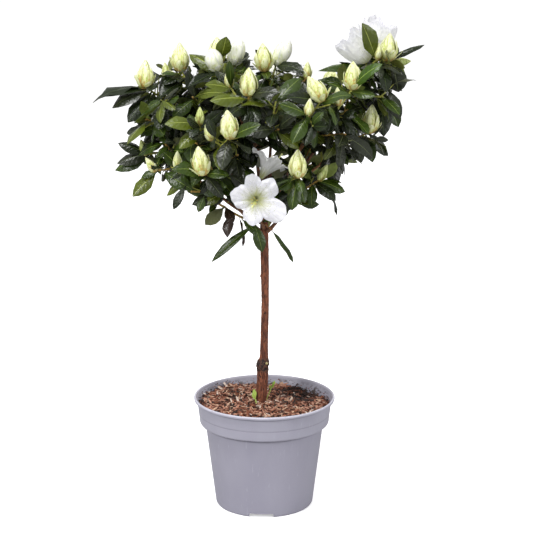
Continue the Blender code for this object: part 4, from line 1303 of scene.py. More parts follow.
def ruleLeaf(shoot, root, aim, turn, spread, length, roll, droop):
    # a leaf that stands out from a shoot, turned round it and drooping
    side = aim.orthogonal().normalized()
    out = side * math.cos(turn) + aim.cross(side) * math.sin(turn)
    along = aim * math.cos(spread) + out * math.sin(spread) - droop * up
    return {
        "root": root, "width": leafForm["width"], "set": False, "shoot": shoot, "along": along.normalized(),
        "length": length, "face": aim + leafForm["faceRise"] * up, "roll": roll,
    }


def whorl(shoot, dice):
    # the leaves of one shoot, its set ones first and then the rule's
    f = leafForm
    aim, place, own = shoot["aim"], shoot["place"], shoot["leaves"]
    turn = dice.uniform(0, math.tau)
    leaves = []
    for number in range(max(f["count"], len(own))):
        root = place + shoot["back"] * min(f["start"] + number * f["pitch"], shoot["run"])
        turn += f["golden"]
        size = dice.uniform(*f["length"])
        roll = dice.uniform(-f["roll"], f["roll"])
        spread = f["spread"][0] + (f["spread"][1] - f["spread"][0]) * number / (f["count"] - 1)
        leaf = ruleLeaf(shoot, root, aim, turn, spread, size, roll, f["droop"])
        if number < len(own):
            reach = place + Vector(own[number][:3]) - root
            leaf |= {"along": reach.normalized(), "length": reach.length, "face": f["setFace"], "roll": 0.0}
            leaf |= {"set": True, "width": (*own[number][3:], f["width"])[0]}
        leaves.append(leaf)
    return leaves


def growTwigs(mass, others):
    # the mass's stem, then each shoot's twig from the fork that makes the shortest clear way
    t = twigForm
    root = mass["root"]
    for share in t["stemShares"]:
        stemEnd = root.lerp(mass["centre"], share)
        wide = twigOutline(root, stemEnd, boughForm["tipRadius"], t["radius"] + t["clearance"])
        if not crosses(obstacleOf(wide), others):
            break
    mass["twigs"].append((root, stemEnd, boughForm["tipRadius"], t["radius"], 0))
    forks = [(root.lerp(stemEnd, share), (stemEnd - root).length * share) for share in (t["forkShare"], 1.0)]
    kept = []
    for shoot in sorted(mass["shoots"], key=lambda one: (one["place"] - root).length):
        place = shoot["place"]
        choices = [fork for fork in forks if (fork[0] - place).length > t["nearestFork"]] or forks
        choices.sort(key=lambda fork: (fork[0] - place).length + t["detour"] * fork[1])
        for fork, way in choices:
            wide = t["radius"] + t["clearance"]
            if crosses(obstacleOf(twigOutline(fork, place, wide, wide)), others):
                continue
            mass["twigs"].append((fork, place, t["radius"], t["tipRadius"], way))
            span = (place - fork).length
            forks.append((fork.lerp(place, t["forkShare"]), way + span * t["forkShare"]))
            shoot |= {"back": (fork - place).normalized(), "run": span}
            kept.append(shoot)
            break
    mass["shoots"] = kept
    mass["obstacles"] += [obstacleOf(twigOutline(*twig[:4])) for twig in mass["twigs"]]


def crownFloor(point):
    # the lowest height that a leaf of the rule may reach: the crown's underside rises outwards
    c = crownForm
    return c["floor"] + c["floorSlope"] * max(0.0, math.hypot(point.x, point.y) - c["floorStart"])


def fitLeaf(mass, leaf, others, dice):
    # keeps a leaf that is clear of other masses, and its blade of its own mass, perhaps turned
    f = leafForm
    stalk = f["setStalk"] if leaf["set"] else f["stalk"]
    room = 2 * twigForm["clearance"]
    for _ in range(f["tries"]):
        tip = leaf["root"] + leaf["along"] * leaf["length"]
        clear = leaf["set"] or tip.z > crownFloor(tip)
        if clear and not crosses(obstacleOf(leafOutline(leaf, 0.0, room)), others):
            if not crosses(obstacleOf(leafOutline(leaf, stalk, room)), mass["obstacles"]):
                mass["leaves"].append(leaf)
                mass["obstacles"].append(obstacleOf(leafOutline(leaf)))
                return True
        nudge = Vector((dice.uniform(-1, 1), dice.uniform(-1, 1), dice.uniform(-0.7, 1)))
        leaf["along"] = (leaf["along"] + (f["setNudge"] if leaf["set"] else f["turn"]) * nudge).normalized()
        if not leaf["set"]:
            leaf["length"] *= f["shrink"]
    return False


def obstaclesBut(name):
    return [limbs] + [one for other, mass in grown.items() if other != name for one in mass["obstacles"]]


def growCrown():
    # every mass with its twigs and leaves
    for name, shoots in planShoots().items():
        points = boughs[name][0]
        onward = (points[-1] - points[-2]).normalized()
        grown[name] = {
            "root": points[-1] + onward * boughForm["gap"], "centre": Vector(masses[name]["centre"]),
            "shoots": shoots, "twigs": [], "leaves": [],
            "obstacles": [obstacleOf(outline) for shoot in shoots for outline in bloomOutlines(shoot)],
        }
    for name, mass in grown.items():
        growTwigs(mass, obstaclesBut(name))
    for setFirst in (True, False):
        for number, (name, mass) in enumerate(grown.items()):
            dice = random.Random(crownForm["seed"] + number)
            others = obstaclesBut(name)
            for leaf in [leaf for shoot in mass["shoots"] for leaf in whorl(shoot, dice)]:
                if leaf["set"] == setFirst:
                    fitLeaf(mass, leaf, others, dice)
    print("shoots", sum(len(mass["shoots"]) for mass in grown.values()))
    print("leaves", sum(len(mass["leaves"]) for mass in grown.values()))


boughs, limbs = growBoughs()
print("boughs grown", len(boughs))
grown = {}
growCrown()

# finer growth on the same twigs: side twigs, and young leaves round the buds

fineForm = {
    "seed": 97,
    "young": {
        "count": 2, "length": (0.011, 0.021), "spread": (math.radians(24), math.radians(48)), "root": 0.002,
    },
    "under": {"count": 3, "length": (0.024, 0.038), "start": 0.010, "pitch": 0.004},
    # a side twig: how far apart, its share of the way along, its length, radii, lean and leaves
    "every": 0.013,
    "along": (0.25, 0.95),
    "twigLength": (0.008, 0.018),
    "radius": (0.00075, 0.0005),
    "lean": 0.55,
    "spreadOut": 0.9,
    "rise": 0.25,
    "count": 5,
    "length": (0.018, 0.033),
    "pitch": 0.12,
    "droop": 0.3,
    "older": 0.06,
    "drawn": 0.90,
    "youngLimit": 0.020,
}


def growAtShoot(mass, shoot, others, dice):
    back, run, plain = shoot["back"], shoot["run"], leafForm
    turn = dice.uniform(0, math.tau)
    if shoot["kind"] and shoot["kind"] != "flower":
        young = fineForm["young"]
        for _ in range(young["count"]):
            turn += plain["golden"]
            root = shoot["place"] + back * min(young["root"], run)
            spread = dice.uniform(*young["spread"])
            leaf = ruleLeaf(shoot, root, shoot["aim"], turn, spread, dice.uniform(*young["length"]), 0, 0)
            fitLeaf(mass, leaf | {"young": True}, others, dice)
    under = fineForm["under"]
    for step in range(under["count"]):
        turn += plain["golden"]
        root = shoot["place"] + back * min(under["start"] + step * under["pitch"], run)
        spread = dice.uniform(*plain["spread"])
        roll = dice.uniform(-plain["roll"], plain["roll"])
        length = dice.uniform(*under["length"])
        fitLeaf(mass, ruleLeaf(shoot, root, -back, turn, spread, length, roll, plain["droop"]), others, dice)


def growSideTwigs(mass, twig, others, dice):
    f = fineForm
    start, end, _, _, way = twig
    span, along = (end - start).length, (end - start).normalized()
    for step in range(int(span / f["every"])):
        share = f["along"][0] + (f["along"][1] - f["along"][0]) * (step + dice.random()) / (span / f["every"])
        foot = start.lerp(end, min(share, f["along"][1]))
        side = along.orthogonal().normalized()
        turn = dice.uniform(0, math.tau)
        out = side * math.cos(turn) + along.cross(side) * math.sin(turn)
        aim = (along * f["lean"] + out * f["spreadOut"] + up * f["rise"]).normalized()
        tip = foot + aim * dice.uniform(*f["twigLength"])
        if crosses(obstacleOf(twigOutline(foot, tip, 0.001, 0.001)), others):
            continue
        shoot = {}
        kept = 0
        for number in range(f["count"]):
            turn += leafForm["golden"]
            root = tip.lerp(foot, f["pitch"] * number)
            spread = leafForm["spread"][0] + 0.16 * number - 0.2
            roll = dice.uniform(-leafForm["roll"], leafForm["roll"])
            leaf = ruleLeaf(shoot, root, aim, turn, spread, dice.uniform(*f["length"]), roll, f["droop"])
            kept += fitLeaf(mass, leaf, others, dice)
        if kept:
            mass["twigs"].append((foot, tip, *f["radius"], way + f["older"]))


def growFiner():
    for number, (name, mass) in enumerate(grown.items()):
        dice = random.Random(fineForm["seed"] + number)
        others = obstaclesBut(name)
        for shoot in mass["shoots"]:
            growAtShoot(mass, shoot, others, dice)
        for twig in list(mass["twigs"]):
            growSideTwigs(mass, twig, others, dice)
    print("leaves with finer growth", sum(len(mass["leaves"]) for mass in grown.values()))


# leaves that are held otherwise than the part's rule has them, by mass and number: root and tip in
# tenths of a millimetre, the way it faces, width over length, and tone
leafChanges = (
    ("left_front_low", 0, {"tip": (-620, -620, 3385)}),
    ("left_front_low", 1, {"tip": (-500, -580, 3370)}),
    ("left_front_low", 2, {"tip": (-270, -540, 3360)}),
    ("left_front_low", 6, {"root": (-590, -840, 3520), "tip": (-650, -900, 3370), "width": 0.5}),
    ("left_low", 2, {"root": (-780, -660, 3590), "tip": (-905, -700, 3355), "width": 0.36}),
    ("left_low", 3, {"root": (-800, -600, 3640), "tip": (-980, -580, 3470), "width": 0.36, "tone": "olive"}),
    ("right_top", 113, {"tip": (1380, -340, 4170), "face": (-0.2, -1.0, 0.3)}),
    ("right_top", 3, {"root": (1040, -40, 4715), "tip": (540, -220, 4680), "face": (0, -0.30, 0.95)}),
    ("right_top", 6, {"tone": "olive"}),
    ("right_top", 9, {"tip": (1350, -260, 4470), "tone": "slate", "width": 0.70}),
    ("right_front", 5, {"tone": "fresh", "width": 0.34}),
    ("right_low", 1, {"face": (0.8, -0.3, 0.5), "width": 0.26}),
    ("right_mid", 58, {"tip": (1290, -150, 3800), "face": (0.6, -0.1, 0.75), "width": 0.20, "tone": "deep"}),
    ("centre_front", 4, {"tone": "deep"}),
    ("left_front", 39, {"tip": (-50, -300, 3840), "tone": "green"}),
    ("left_front", 41, {"tip": (-30, -280, 3680), "width": 0.50, "tone": "deep"}),
    ("low_tuft", 0, {"width": 0.13}),
    ("low_tuft", 2, {"width": 0.17}),
    ("left_tip", 2, {"face": (0, -0.20, 0.98), "width": 0.32, "tone": "deep"}),
    ("left_tip", 3, {"tip": (-1600, -220, 4420), "face": (0, -0.35, 0.94), "width": 0.34}),
    ("left_tip", 4, {"face": (0, -0.45, 0.90), "tone": "slate"}),
    ("centre_left", 0, {
        "root": (-445, -60, 4780), "tip": (-380, -180, 5020), "face": (0.15, -1.0, 0.15), "width": 0.58,
        "tone": "olive",
    }),
)
# more leaves for the low tuft, as above, on a thin twig along these points
lowLeaves = (
    ((-230, -270, 3165), (-30, -350, 2990), 0.36, (0.0, -0.8, 0.6), "green"),
    ((-405, -340, 3310), (-600, -450, 3145), 0.52, (0.1, 0.9, -0.3), "slate"),
    ((-400, -330, 3300), (-310, -400, 3160), 0.62, (0.3, -0.9, 0.2), "withered"),
    ((-340, -300, 3240), (-375, -400, 3000), 0.50, (-0.5, -0.8, 0.1), "withered"),
    ((-260, -240, 3190), (-220, -400, 2900), 0.14, (0.8, -0.5, 0.1), "withered"),
    ((-470, -360, 3360), (-560, -420, 3270), 0.50, (0.0, -0.7, 0.7), "green"),
)
lowTwig = ((-30, -10, 3180), (-220, -200, 3165), (-400, -320, 3300), (-580, -420, 3450))
clearForm = {
    # open places that no leaf may hide: place, way towards the light, reach, width
    "openPlaces": (
        ((0.006, -0.070, 0.378), (0.0, -1.0, 0.24), 0.10, 0.017),
        ((0.006, -0.064, 0.384), (-0.59, -0.68, 0.44), 0.05, 0.012),
    ),
    # stretches under which no leaf of the rule hangs: from, to and lowest
    "hems": ((-0.098, -0.065, 0.329), (-0.065, -0.016, 0.326)),
    # how far outside a bud or flower a leaf would cover it, at these shares of the leaf's length
    "reach": 0.045,
    "width": 0.8,
    "back": 0.03,
    "along": (0.35, 0.7, 0.95),
}


def finePlace(values):
    return Vector([value / 10000 for value in values])


def holdLeaf(leaf, root=None, tip=None, face=None, **rest):
    if root:
        leaf["root"] = finePlace(root)
    if tip:
        way = finePlace(tip) - leaf["root"]
        leaf["along"], leaf["length"] = way.normalized(), way.length
    if face:
        leaf["face"] = Vector(face)
    leaf |= rest
    return leaf


def aheadOf(spot, place, way):
    # how far a spot is along a way from a place, and how far aside
    ahead = (spot - place).dot(way)
    return ahead, (spot - place - way * ahead).length


def isClear(leaf, veils):
    # a leaf of the rule neither hides an open place, hangs below the hem, nor veils a bud or flower
    for place, way, reach, width in clearForm["openPlaces"]:
        middle = leaf["root"] + leaf["along"] * leaf["length"] * 0.55
        ahead, aside = aheadOf(middle, Vector(place), Vector(way).normalized())
        if -0.012 < ahead < reach and aside < width:
            return False
    tip = leaf["root"] + leaf["along"] * leaf["length"]
    for start, end, lowest in clearForm["hems"]:
        if not leaf["set"] and start < tip.x < end and tip.z + 0.2 * tip.y < lowest:
            return False
    for share in clearForm["along"]:
        spot = leaf["root"] + leaf["along"] * leaf["length"] * share
        for place, way, width in veils:
            ahead, aside = aheadOf(spot, place, way)
            if 0.002 < ahead < clearForm["reach"] and aside < width:
                return leaf["set"]
    return True


def settleLeaves():
    for name, number, change in leafChanges:
        holdLeaf(grown[name]["leaves"][number], **change)
    veils = []
    for shoot in [shoot for mass in grown.values() for shoot in mass["shoots"] if shoot["kind"]]:
        length, radius = bloomSizes[shoot["kind"]]
        way = Vector((0, 1 if shoot["place"].y > clearForm["back"] else -1, 0.2)).normalized()
        veils.append((shoot["place"] + shoot["aim"] * length / 2, way, radius * clearForm["width"]))
    for mass in grown.values():
        mass["leaves"] = [leaf for leaf in mass["leaves"] if isClear(leaf, veils)]
    tuft = grown["low_tuft"]
    for leaf in tuft["leaves"]:
        leaf["tone"] = "green"
    for root, tip, width, face, tone in lowLeaves:
        leaf = {"set": True, "roll": 0, "shoot": {}, "width": width, "tone": tone}
        tuft["leaves"].append(holdLeaf(leaf, root, tip, face))
    for start, end in zip(lowTwig, lowTwig[1:]):
        tuft["twigs"].append((finePlace(start), finePlace(end), 0.0012, 0.0011, 0.03))


growFiner()
settleLeaves()


# leaves

leafLooks = {
    # how often a spray has this tone, and its upper side, underside and rib
    "deep": (34, (18, 27, 6), (94, 101, 48), (54, 68, 27)),
    "slate": (18, (28, 33, 19), (104, 108, 72), (72, 80, 48)),
    "green": (26, (40, 56, 9), (110, 124, 52), (104, 122, 46)),
    "olive": (16, (69, 79, 17), (130, 138, 66), (144, 154, 66)),
    "young": (3, (88, 112, 22), (146, 162, 70), (168, 184, 80)),
    "fresh": (0, (46, 70, 6), (118, 140, 52), (124, 150, 56)),
    "withered": (0, (44, 30, 21), (66, 48, 34), (70, 50, 34)),
}
bladeForm = {
    "rows": (0, 0.11, 0.26, 0.46, 0.68, 0.87, 1),
    "widths": (0.10, 0.15, 0.60, 0.96, 0.95, 0.58, 0.05),
    "columns": (-1, -0.5, -0.045, 0.045, 0.5, 1),
    "ribWidth": 0.06,
    "thickness": 0.008,
    "smoothAngle": 62,
    "styles": (
        # arch, fold, wave, twist
        (0.06, 0.35, 0.00, 0.00), (0.10, 0.15, 0.04, 0.18), (0.03, 0.55, 0.05, -0.12),
        (0.08, -0.10, 0.02, -0.25), (0.12, 0.30, 0.06, 0.10), (0.05, 0.05, 0.03, 0.30),
    ),
}
foliageGroups = {
    "left": ("left_tip", "left_top", "left_low", "left_front_low", "left_front"),
    "middle": ("centre_left", "centre_right", "centre_front", "centre_low", "low_tuft"),
    "right": ("right_top", "right_front", "right_low", "right_mid"),
    "back": ("back_left", "back_centre", "back_right", "back_left_low", "back_right_low"),
}


def leafShape(arch, fold, wave, twist):
    b = bladeForm

    def place(across, along):
        half = np.interp(along, b["rows"], b["widths"])
        lift = 0.22 * half * (fold * abs(across) - 0.30 * abs(across) ** 3)
        lift += wave * math.sin(along * 11 + across) * across**2 * half
        lift += arch * 4 * along * (1 - along)
        turn = twist * (along - 0.4)
        x = across * half
        return x * math.cos(turn), along, lift + 0.22 * x * math.sin(turn)

    bm = bmesh.new()
    _, faces = layPatch(bm, b["columns"], b["rows"], place)
    for face in faces:
        if max(abs(vert.co.x) for vert in face.verts) < b["ribWidth"]:
            face.material_index = 2
    giveBody(bm, b["thickness"], 1)
    return shapeOf(bm)


def leafSurface(name, top, second, roughness):
    material, tree, shader, where = startSurface(name, top, roughness)
    cloud = streaksOn(tree, where, 48, (1, 1, 1), 0.3, 0.7)
    veins = addNode(tree, "Group", {"Vector": formOf(tree)}, node_tree=sideVeins).outputs["Height"]
    quilt = streaksOn(tree, where, 420)["Height"]
    feed(tree, shader, {
        "Base Color": coat(tree, top, (cloud["Mask"], second)),
        "Roughness": roughnessFrom(tree, cloud["Height"], roughness - 0.12, roughness + 0.12),
        "Normal": bumps(tree, (veins, 0.0002), (quilt, 0.0005)),
        "Specular IOR Level": 0.30, "Coat Weight": 0.12, "Coat Roughness": 0.1,
    })
    return material


def toneOf(leaf, tones, weights, dice):
    # a leaf mostly has its shoot's tone, and small ones are younger
    shoot = leaf["shoot"]
    if "tone" not in shoot:
        shoot["tone"] = dice.choices(tones, weights)[0]
    tone = shoot["tone"]
    if dice.random() < 0.3:
        tone = dice.choices(tones, weights)[0]
    if leaf.get("young") and dice.random() < 0.5:
        tone = dice.choice(("young", "olive"))
    if tone == "young" and leaf["length"] > fineForm["youngLimit"]:
        tone = "green"
    return leaf.get("tone", tone)


def makeLeaves():
    materials = []
    for name, (_, top, under, rib) in leafLooks.items():
        lighter = tuple(min(1.0, value * 1.45 + 0.004) for value in tint(*top))
        materials.append(leafSurface(name + "Leaf", tint(*top), lighter, 0.24))
        for part, colour, darker, roughness in (("Underside", under, 0.88, 0.55), ("Rib", rib, 0.9, 0.45)):
            second = tint(*[value * darker for value in colour])
            materials.append(leafSurface(name + part, tint(*colour), second, roughness))
    tones = list(leafLooks)
    weights = [look[0] for look in leafLooks.values()]
    shapes = [leafShape(*style) for style in bladeForm["styles"]]
    dice = random.Random(crownForm["seed"])
    for groupName, names in foliageGroups.items():
        pile = newPile()
        for leaf in [leaf for name in names for leaf in grown[name]["leaves"]]:
            slot = 3 * tones.index(toneOf(leaf, tones, weights, dice))
            length = leaf["length"] * (1 if leaf["set"] else fineForm["drawn"])
            size = Matrix.Diagonal((length * leaf["width"] / 2, length, length, 1))
            start = leaf["root"] - leaf["along"] * leafForm["sink"]
            roll = Matrix.Rotation(leaf["roll"], 4, "Y")
            matrix = aimedMatrix(start, leaf["along"], leaf["face"]) @ roll @ size
            addToPile(pile, dice.choice(shapes), matrix, [slot, slot + 1, slot + 2])
        piece = "leaves_" + groupName
        mesh = meshFromPile(piece, pile, bladeForm["smoothAngle"])
        layPiece(piece, mesh, materials, "foliage", *["foliage_" + name for name in names])


# trunk, boughs and twigs

barkForm = {
    "trunkSides": 72,
    "trunkRings": 420,
    "boughSides": 18,
    "boughRings": 64,
    "ridge": 0.00050,
    "crack": 0.00065,
    "flake": 0.00024,
    "flareReach": 0.012,
    "flare": 0.0007,
    "gnarlHeight": 0.1525,
    "gnarlReach": 0.008,
    "gnarl": 0.0015,
    "gnarlSpan": (-0.0075, 0.0085),
    "gnarlColours": ((0.016, 0.008, 0.006), (0.105, 0.046, 0.030)),
    # lumps and knots: place, reach, height
    "lumps": (
        ((-0.0080, -0.0030, 0.1535), 0.0040, 0.0009), ((0.0028, -0.0052, 0.1530), 0.0026, 0.0014),
        ((0.0038, -0.0020, 0.1560), 0.0030, 0.0010), ((-0.0010, 0.0060, 0.1500), 0.0035, 0.0010),
        ((-0.0032, -0.0010, 0.2500), 0.0019, 0.0016), ((0.0030, 0.0030, 0.2780), 0.0020, 0.0010),
        ((-0.0020, 0.0040, 0.2150), 0.0022, 0.0009),
    ),
    # the foot leans aside: up to this height, by this much
    "footLean": (0.136, -0.0021),
    "trunk": {
        "colours": (tint(95, 48, 29), tint(145, 86, 59), tint(42, 20, 12)), "flecks": (0.52, 0.64),
        "roughness": (0.6, 0.86), "scale": 330, "stretch": (1, 1, 0.22), "reliefScale": 900, "relief": 0.0014,
    },
    "bough": {
        "colours": (tint(92, 56, 38), tint(126, 84, 52), tint(60, 36, 26)),
        "roughness": (0.6, 0.8), "scale": 500, "reliefScale": 1500, "relief": 0.0004,
    },
    "cutPlace": (0.0026, -0.0066, 0.1562),
    "cutRadius": 0.0012,
    "cut": {
        "colours": (tint(206, 194, 140), tint(170, 146, 96)),
        "roughness": (0.6, 0.8), "scale": 900, "reliefScale": 2400, "relief": 0.0002,
    },
}


def smoothLine(points, radii, count):
    # places and radii at even steps along a smooth line through some points
    reach = [0.0]
    for low, high in zip(points, points[1:]):
        reach.append(reach[-1] + (high - low).length)
    made = []
    for step in range(count + 1):
        way = reach[-1] * step / count
        index = max(i for i in range(len(points) - 1) if reach[i] <= way + 1e-9)
        t = (way - reach[index]) / (reach[index + 1] - reach[index])
        p0, p1 = points[max(index - 1, 0)], points[index]
        p2, p3 = points[index + 1], points[min(index + 2, len(points) - 1)]
        place = 0.5 * (
            2 * p1 + (p2 - p0) * t + (2 * p0 - 5 * p1 + 4 * p2 - p3) * t**2
            + (3 * p1 - p0 - 3 * p2 + p3) * t**3
        )
        ease = t * t * (3 - 2 * t)
        made.append((place, radii[index] + (radii[index + 1] - radii[index]) * ease))
    return made


def addLimb(bm, line, sides, relief):
    # a grid wrapped round a line, its seam joined and its ends closed
    rings = len(line) - 1
    frames = []
    side = Vector((1, 0, 0))
    for index, (place, radius) in enumerate(line):
        ahead = line[min(index + 1, rings)][0] - line[max(index - 1, 0)][0]
        ahead.normalize()
        side = (side - ahead * side.dot(ahead)).normalized()
        frames.append((place, side.copy(), ahead.cross(side), radius))

    def place(across, along):
        middle, first, second, radius = frames[round(along * rings)]
        turn = across * math.tau
        out = first * math.cos(turn) + second * math.sin(turn)
        return middle + out * (radius + relief(middle + out * radius, turn, radius))

    verts, _ = layPatch(bm, evenSteps(sides), evenSteps(rings), place)
    bmesh.ops.remove_doubles(bm, verts=verts, dist=0.0000005)
    ends = [edge for edge in bm.edges if edge.is_boundary]
    bmesh.ops.holes_fill(bm, edges=ends, sides=0)


def barkRelief(place, turn, radius):
    b = barkForm
    size = min(1.0, radius / 0.0042)
    out = roundSpot(1, turn)
    ridge = noise.noise(out * 1.7 + up * place.z * 26)
    fibre = abs(noise.noise(out * 4.6 + up * place.z * 60 + Vector((5, 5, 5))))
    flake = noise.noise(out * 9 + up * place.z * 300)
    made = size * (b["ridge"] * ridge - b["crack"] * max(0.0, 0.16 - fibre) * 6 + b["flake"] * flake)
    gnarl = math.exp(-(((place.z - b["gnarlHeight"]) / b["gnarlReach"]) ** 2))
    if gnarl > 0.02:
        made += b["gnarl"] * gnarl * (0.25 + noise.noise(out * 3.1 + up * place.z * 210))
    for spot, reach, height in b["lumps"]:
        away = (Vector(spot) - place).length / reach
        if away < 2.4:
            made += height * math.exp(-(away**2))
    flare = max(0.0, 1 - (place.z - trunkForm["foot"]) / b["flareReach"])
    return made + flare * b["flare"] * noise.noise(out * 1.9 + Vector((9, 9, 9)))


def trunkSurface():
    # its bark, with the graft's gnarled ring laid over it
    b = barkForm
    material = mottledSurface("trunkBark", b["trunk"])
    tree = material.node_tree
    shader = tree.nodes["Principled BSDF"]
    plain = shader.inputs["Base Color"].links[0].from_socket
    where = addNode(tree, "TexCoord").outputs["Object"]
    height = addNode(tree, "SeparateXYZ", {0: where}).outputs["Z"]
    breakup = streaksOn(tree, where, 420)["Height"]
    low, high = (reach + b["gnarlHeight"] for reach in b["gnarlSpan"])
    below = fadeOn(tree, height, low, low + 0.003, 0.012, breakup)
    above = fadeOn(tree, height, high, high - 0.003, 0.012, breakup)
    knots = streaksOn(tree, where, 520, (1, 1, 0.6), 0.44, 0.58)["Mask"]
    gnarled = coat(tree, b["gnarlColours"][0], (knots, b["gnarlColours"][1]))
    feed(tree, shader, {"Base Color": coat(tree, plain, (maths(tree, "MULTIPLY", below, above), gnarled))})
    return material


def makeBark():
    b = barkForm
    bm = bmesh.new()
    line = smoothLine(trunkPoints(), trunkRadii(), b["trunkRings"])
    reach, shift = b["footLean"]
    for place, _ in line:
        place.x += shift * max(0.0, (reach - place.z) / (reach - trunkForm["foot"])) ** 1.3
    addLimb(bm, line, b["trunkSides"], barkRelief)
    bmesh.ops.recalc_face_normals(bm, faces=bm.faces)
    layPiece("trunk_bark", meshFrom("trunk_bark", bm), [trunkSurface()], "bark", "trunk")
    bm = bmesh.new()
    for points, radii in boughs.values():
        single = bmesh.new()
        addLimb(single, smoothLine(points, radii, b["boughRings"]), b["boughSides"], barkRelief)
        mesh = meshFrom("bough", single)
        bm.from_mesh(mesh)
        bpy.data.meshes.remove(mesh)
    bmesh.ops.recalc_face_normals(bm, faces=bm.faces)
    material = mottledSurface("boughBark", b["bough"])
    nodes = ["bough_" + name for name in boughs]
    layPiece("bough_bark", meshFrom("bough_bark", bm), [material], "bark", *nodes)


twigLooks = {
    # how far along the twigs it ends, and its colours
    "oldTwig": (0.018, (112, 66, 36), (150, 104, 54), (74, 40, 26)),
    "ripeTwig": (0.045, (146, 112, 50), (170, 142, 66), (104, 66, 36)),
    "youngTwig": (math.inf, (150, 154, 62), (176, 178, 86), (138, 118, 54)),
}


def rodShape():
    # a thin stem one unit long, with rings to bend at
    bm = tubeOutline(1, 1, 1, 6)
    for height in (0.2, 0.4, 0.6, 0.8):
        whole = bm.verts[:] + bm.edges[:] + bm.faces[:]
        bmesh.ops.bisect_plane(bm, geom=whole, plane_co=(0, height, 0), plane_no=(0, 1, 0))
    return shapeOf(bm)


def makeTwigs():
    finish = {"roughness": (0.5, 0.7), "scale": 300, "reliefScale": 1400, "relief": 0.0002}
    materials = [
        mottledSurface(name, {"colours": [tint(*colour) for colour in colours]} | finish)
        for name, (_, *colours) in twigLooks.items()
    ]
    ends = [look[0] for look in twigLooks.values()]
    shape = rodShape()
    dice = random.Random(crownForm["seed"])
    pile = newPile()
    for start, end, radius1, radius2, way in [twig for mass in grown.values() for twig in mass["twigs"]]:
        span = (end - start).length
        bow = Vector((dice.uniform(-1, 1), 0, dice.uniform(-1, 1))) * span * 0.035
        points = shape["points"].copy()
        along = shape["points"][:, 1]
        thick = radius1 + (radius2 - radius1) * along + 0.00025 * np.exp(-((along / 0.06) ** 2))
        for axis, side in ((0, bow.x), (2, bow.z)):
            points[:, axis] = points[:, axis] * thick + side * np.sin(along * math.pi)
        points[:, 1] = along * (span + twigForm["lap"])
        tone = [way < limit for limit in ends].index(True)
        addToPile(pile, shape, aimedMatrix(start, end - start, up), [tone], points)
    layPiece("twigs", meshFromPile("twigs", pile, 50), materials, "twig")


def makePrunedCut():
    # the pale end of a pruned side shoot on the graft
    radius, place = barkForm["cutRadius"], Vector(barkForm["cutPlace"])
    bm = bmesh.new()
    bmesh.ops.create_cone(bm, cap_ends=True, segments=20, radius1=radius * 1.15, radius2=radius, depth=0.0012)
    rim = [edge for edge in bm.edges if all(vert.co.z > 0 for vert in edge.verts)]
    bmesh.ops.bevel(bm, geom=rim, offset=0.0002, segments=2, profile=0.5, affect="EDGES", material=-1)
    bmesh.ops.rotate(bm, matrix=Matrix.Rotation(-math.pi / 2, 3, "X"), verts=bm.verts)
    stood(bm, place, Vector((place.x + 0.0018, place.y, 0.0006)).normalized(), up)
    cutWood = mottledSurface("cutWood", barkForm["cut"])
    layPiece("pruned_cut", meshFrom("pruned_cut", bm, 40), [cutWood], "bark")


makeLeaves()
print("leaves made")
makeBark()
makeTwigs()
print("bark and twigs made")


# buds and flowers

budForm = {
    "profile": (
        (0, 0.36), (0.08, 0.62), (0.2, 0.84), (0.35, 0.95), (0.5, 0.90),
        (0.65, 0.72), (0.8, 0.46), (0.92, 0.22), (1, 0.02),
    ),
    "body": 0.90,
    "slim": 0.88,
    "thickness": 0.03,
    # scales of each row: count, start, end, half angle, lift at the root, lift at the tip, spread of the ends
    "full": (
        (4, 0.00, 0.50, 38, 0.05, 0.34, 0.20), (5, 0.04, 0.80, 33, 0.03, 0.24, 0.16),
        (5, 0.20, 1.02, 34, 0.00, 0.08, 0.08),
    ),
    "opening": (
        (5, 0.00, 0.46, 34, 0.06, 0.55, 0.20), (5, 0.04, 0.78, 33, 0.03, 0.34, 0.16),
        (5, 0.20, 1.02, 34, 0.00, 0.10, 0.08),
    ),
    "small": ((3, 0.00, 0.60, 56, 0.04, 0.22, 0.12), (4, 0.15, 1.02, 50, 0.00, 0.06, 0.06)),
    "styles": 4,
    "seed": 5,
    "smoothAngle": 60,
}
furledForm = {
    "profile": (
        (0, 0.30), (0.1, 0.55), (0.25, 0.82), (0.4, 0.98), (0.54, 1.0),
        (0.68, 0.90), (0.82, 0.66), (0.92, 0.40), (1, 0.08),
    ),
    # share of the rule's length
    "white_bud": 0.96,
    "pale_bud": 0.82,
    "styles": 3,
    "petals": 4,
    "scales": 5,
    "halfAngle": 74,
    "twist": 48,
    "lap": 0.10,
}
budTints = {
    # tip, middle, streaks, foot and rim of the scales
    "budScale": ((242, 244, 200), (231, 235, 160), (186, 200, 92), (200, 164, 88), (198, 196, 116)),
    "budWhite": ((238, 238, 226), (228, 230, 206), (212, 219, 176), (190, 198, 112), (204, 208, 196)),
    "budGreen": ((214, 222, 150), (184, 199, 108), (136, 160, 66), (150, 128, 66), (140, 130, 62)),
}


def profileAt(profile, along):
    return float(np.interp(along, [one[0] for one in profile], [one[1] for one in profile]))


def addScale(bm, profile, turn, start, end, halfAngle, lift, tipLift, dice):
    # one overlapping scale with a keel and a pointed tip
    lean = dice.uniform(-0.10, 0.10)

    def place(across, along):
        height = start + (end - start) * along
        swing = across * math.radians(halfAngle) * (0.72 + 0.28 * along)
        angle = turn + swing * (1 - along**3) ** 0.8 + lean * along
        radius = profileAt(profile, min(height, 1.0)) * (1 + lift + tipLift * along**2.2)
        radius += 0.05 * (1 - abs(across)) * math.sin(math.pi * min(1, along * 1.1)) - 0.02 * across**2
        return radius * math.cos(angle), height, radius * math.sin(angle)

    layPatch(bm, (-1, -0.45, 0, 0.45, 1), (0, 0.2, 0.42, 0.62, 0.8, 0.92, 0.995), place)


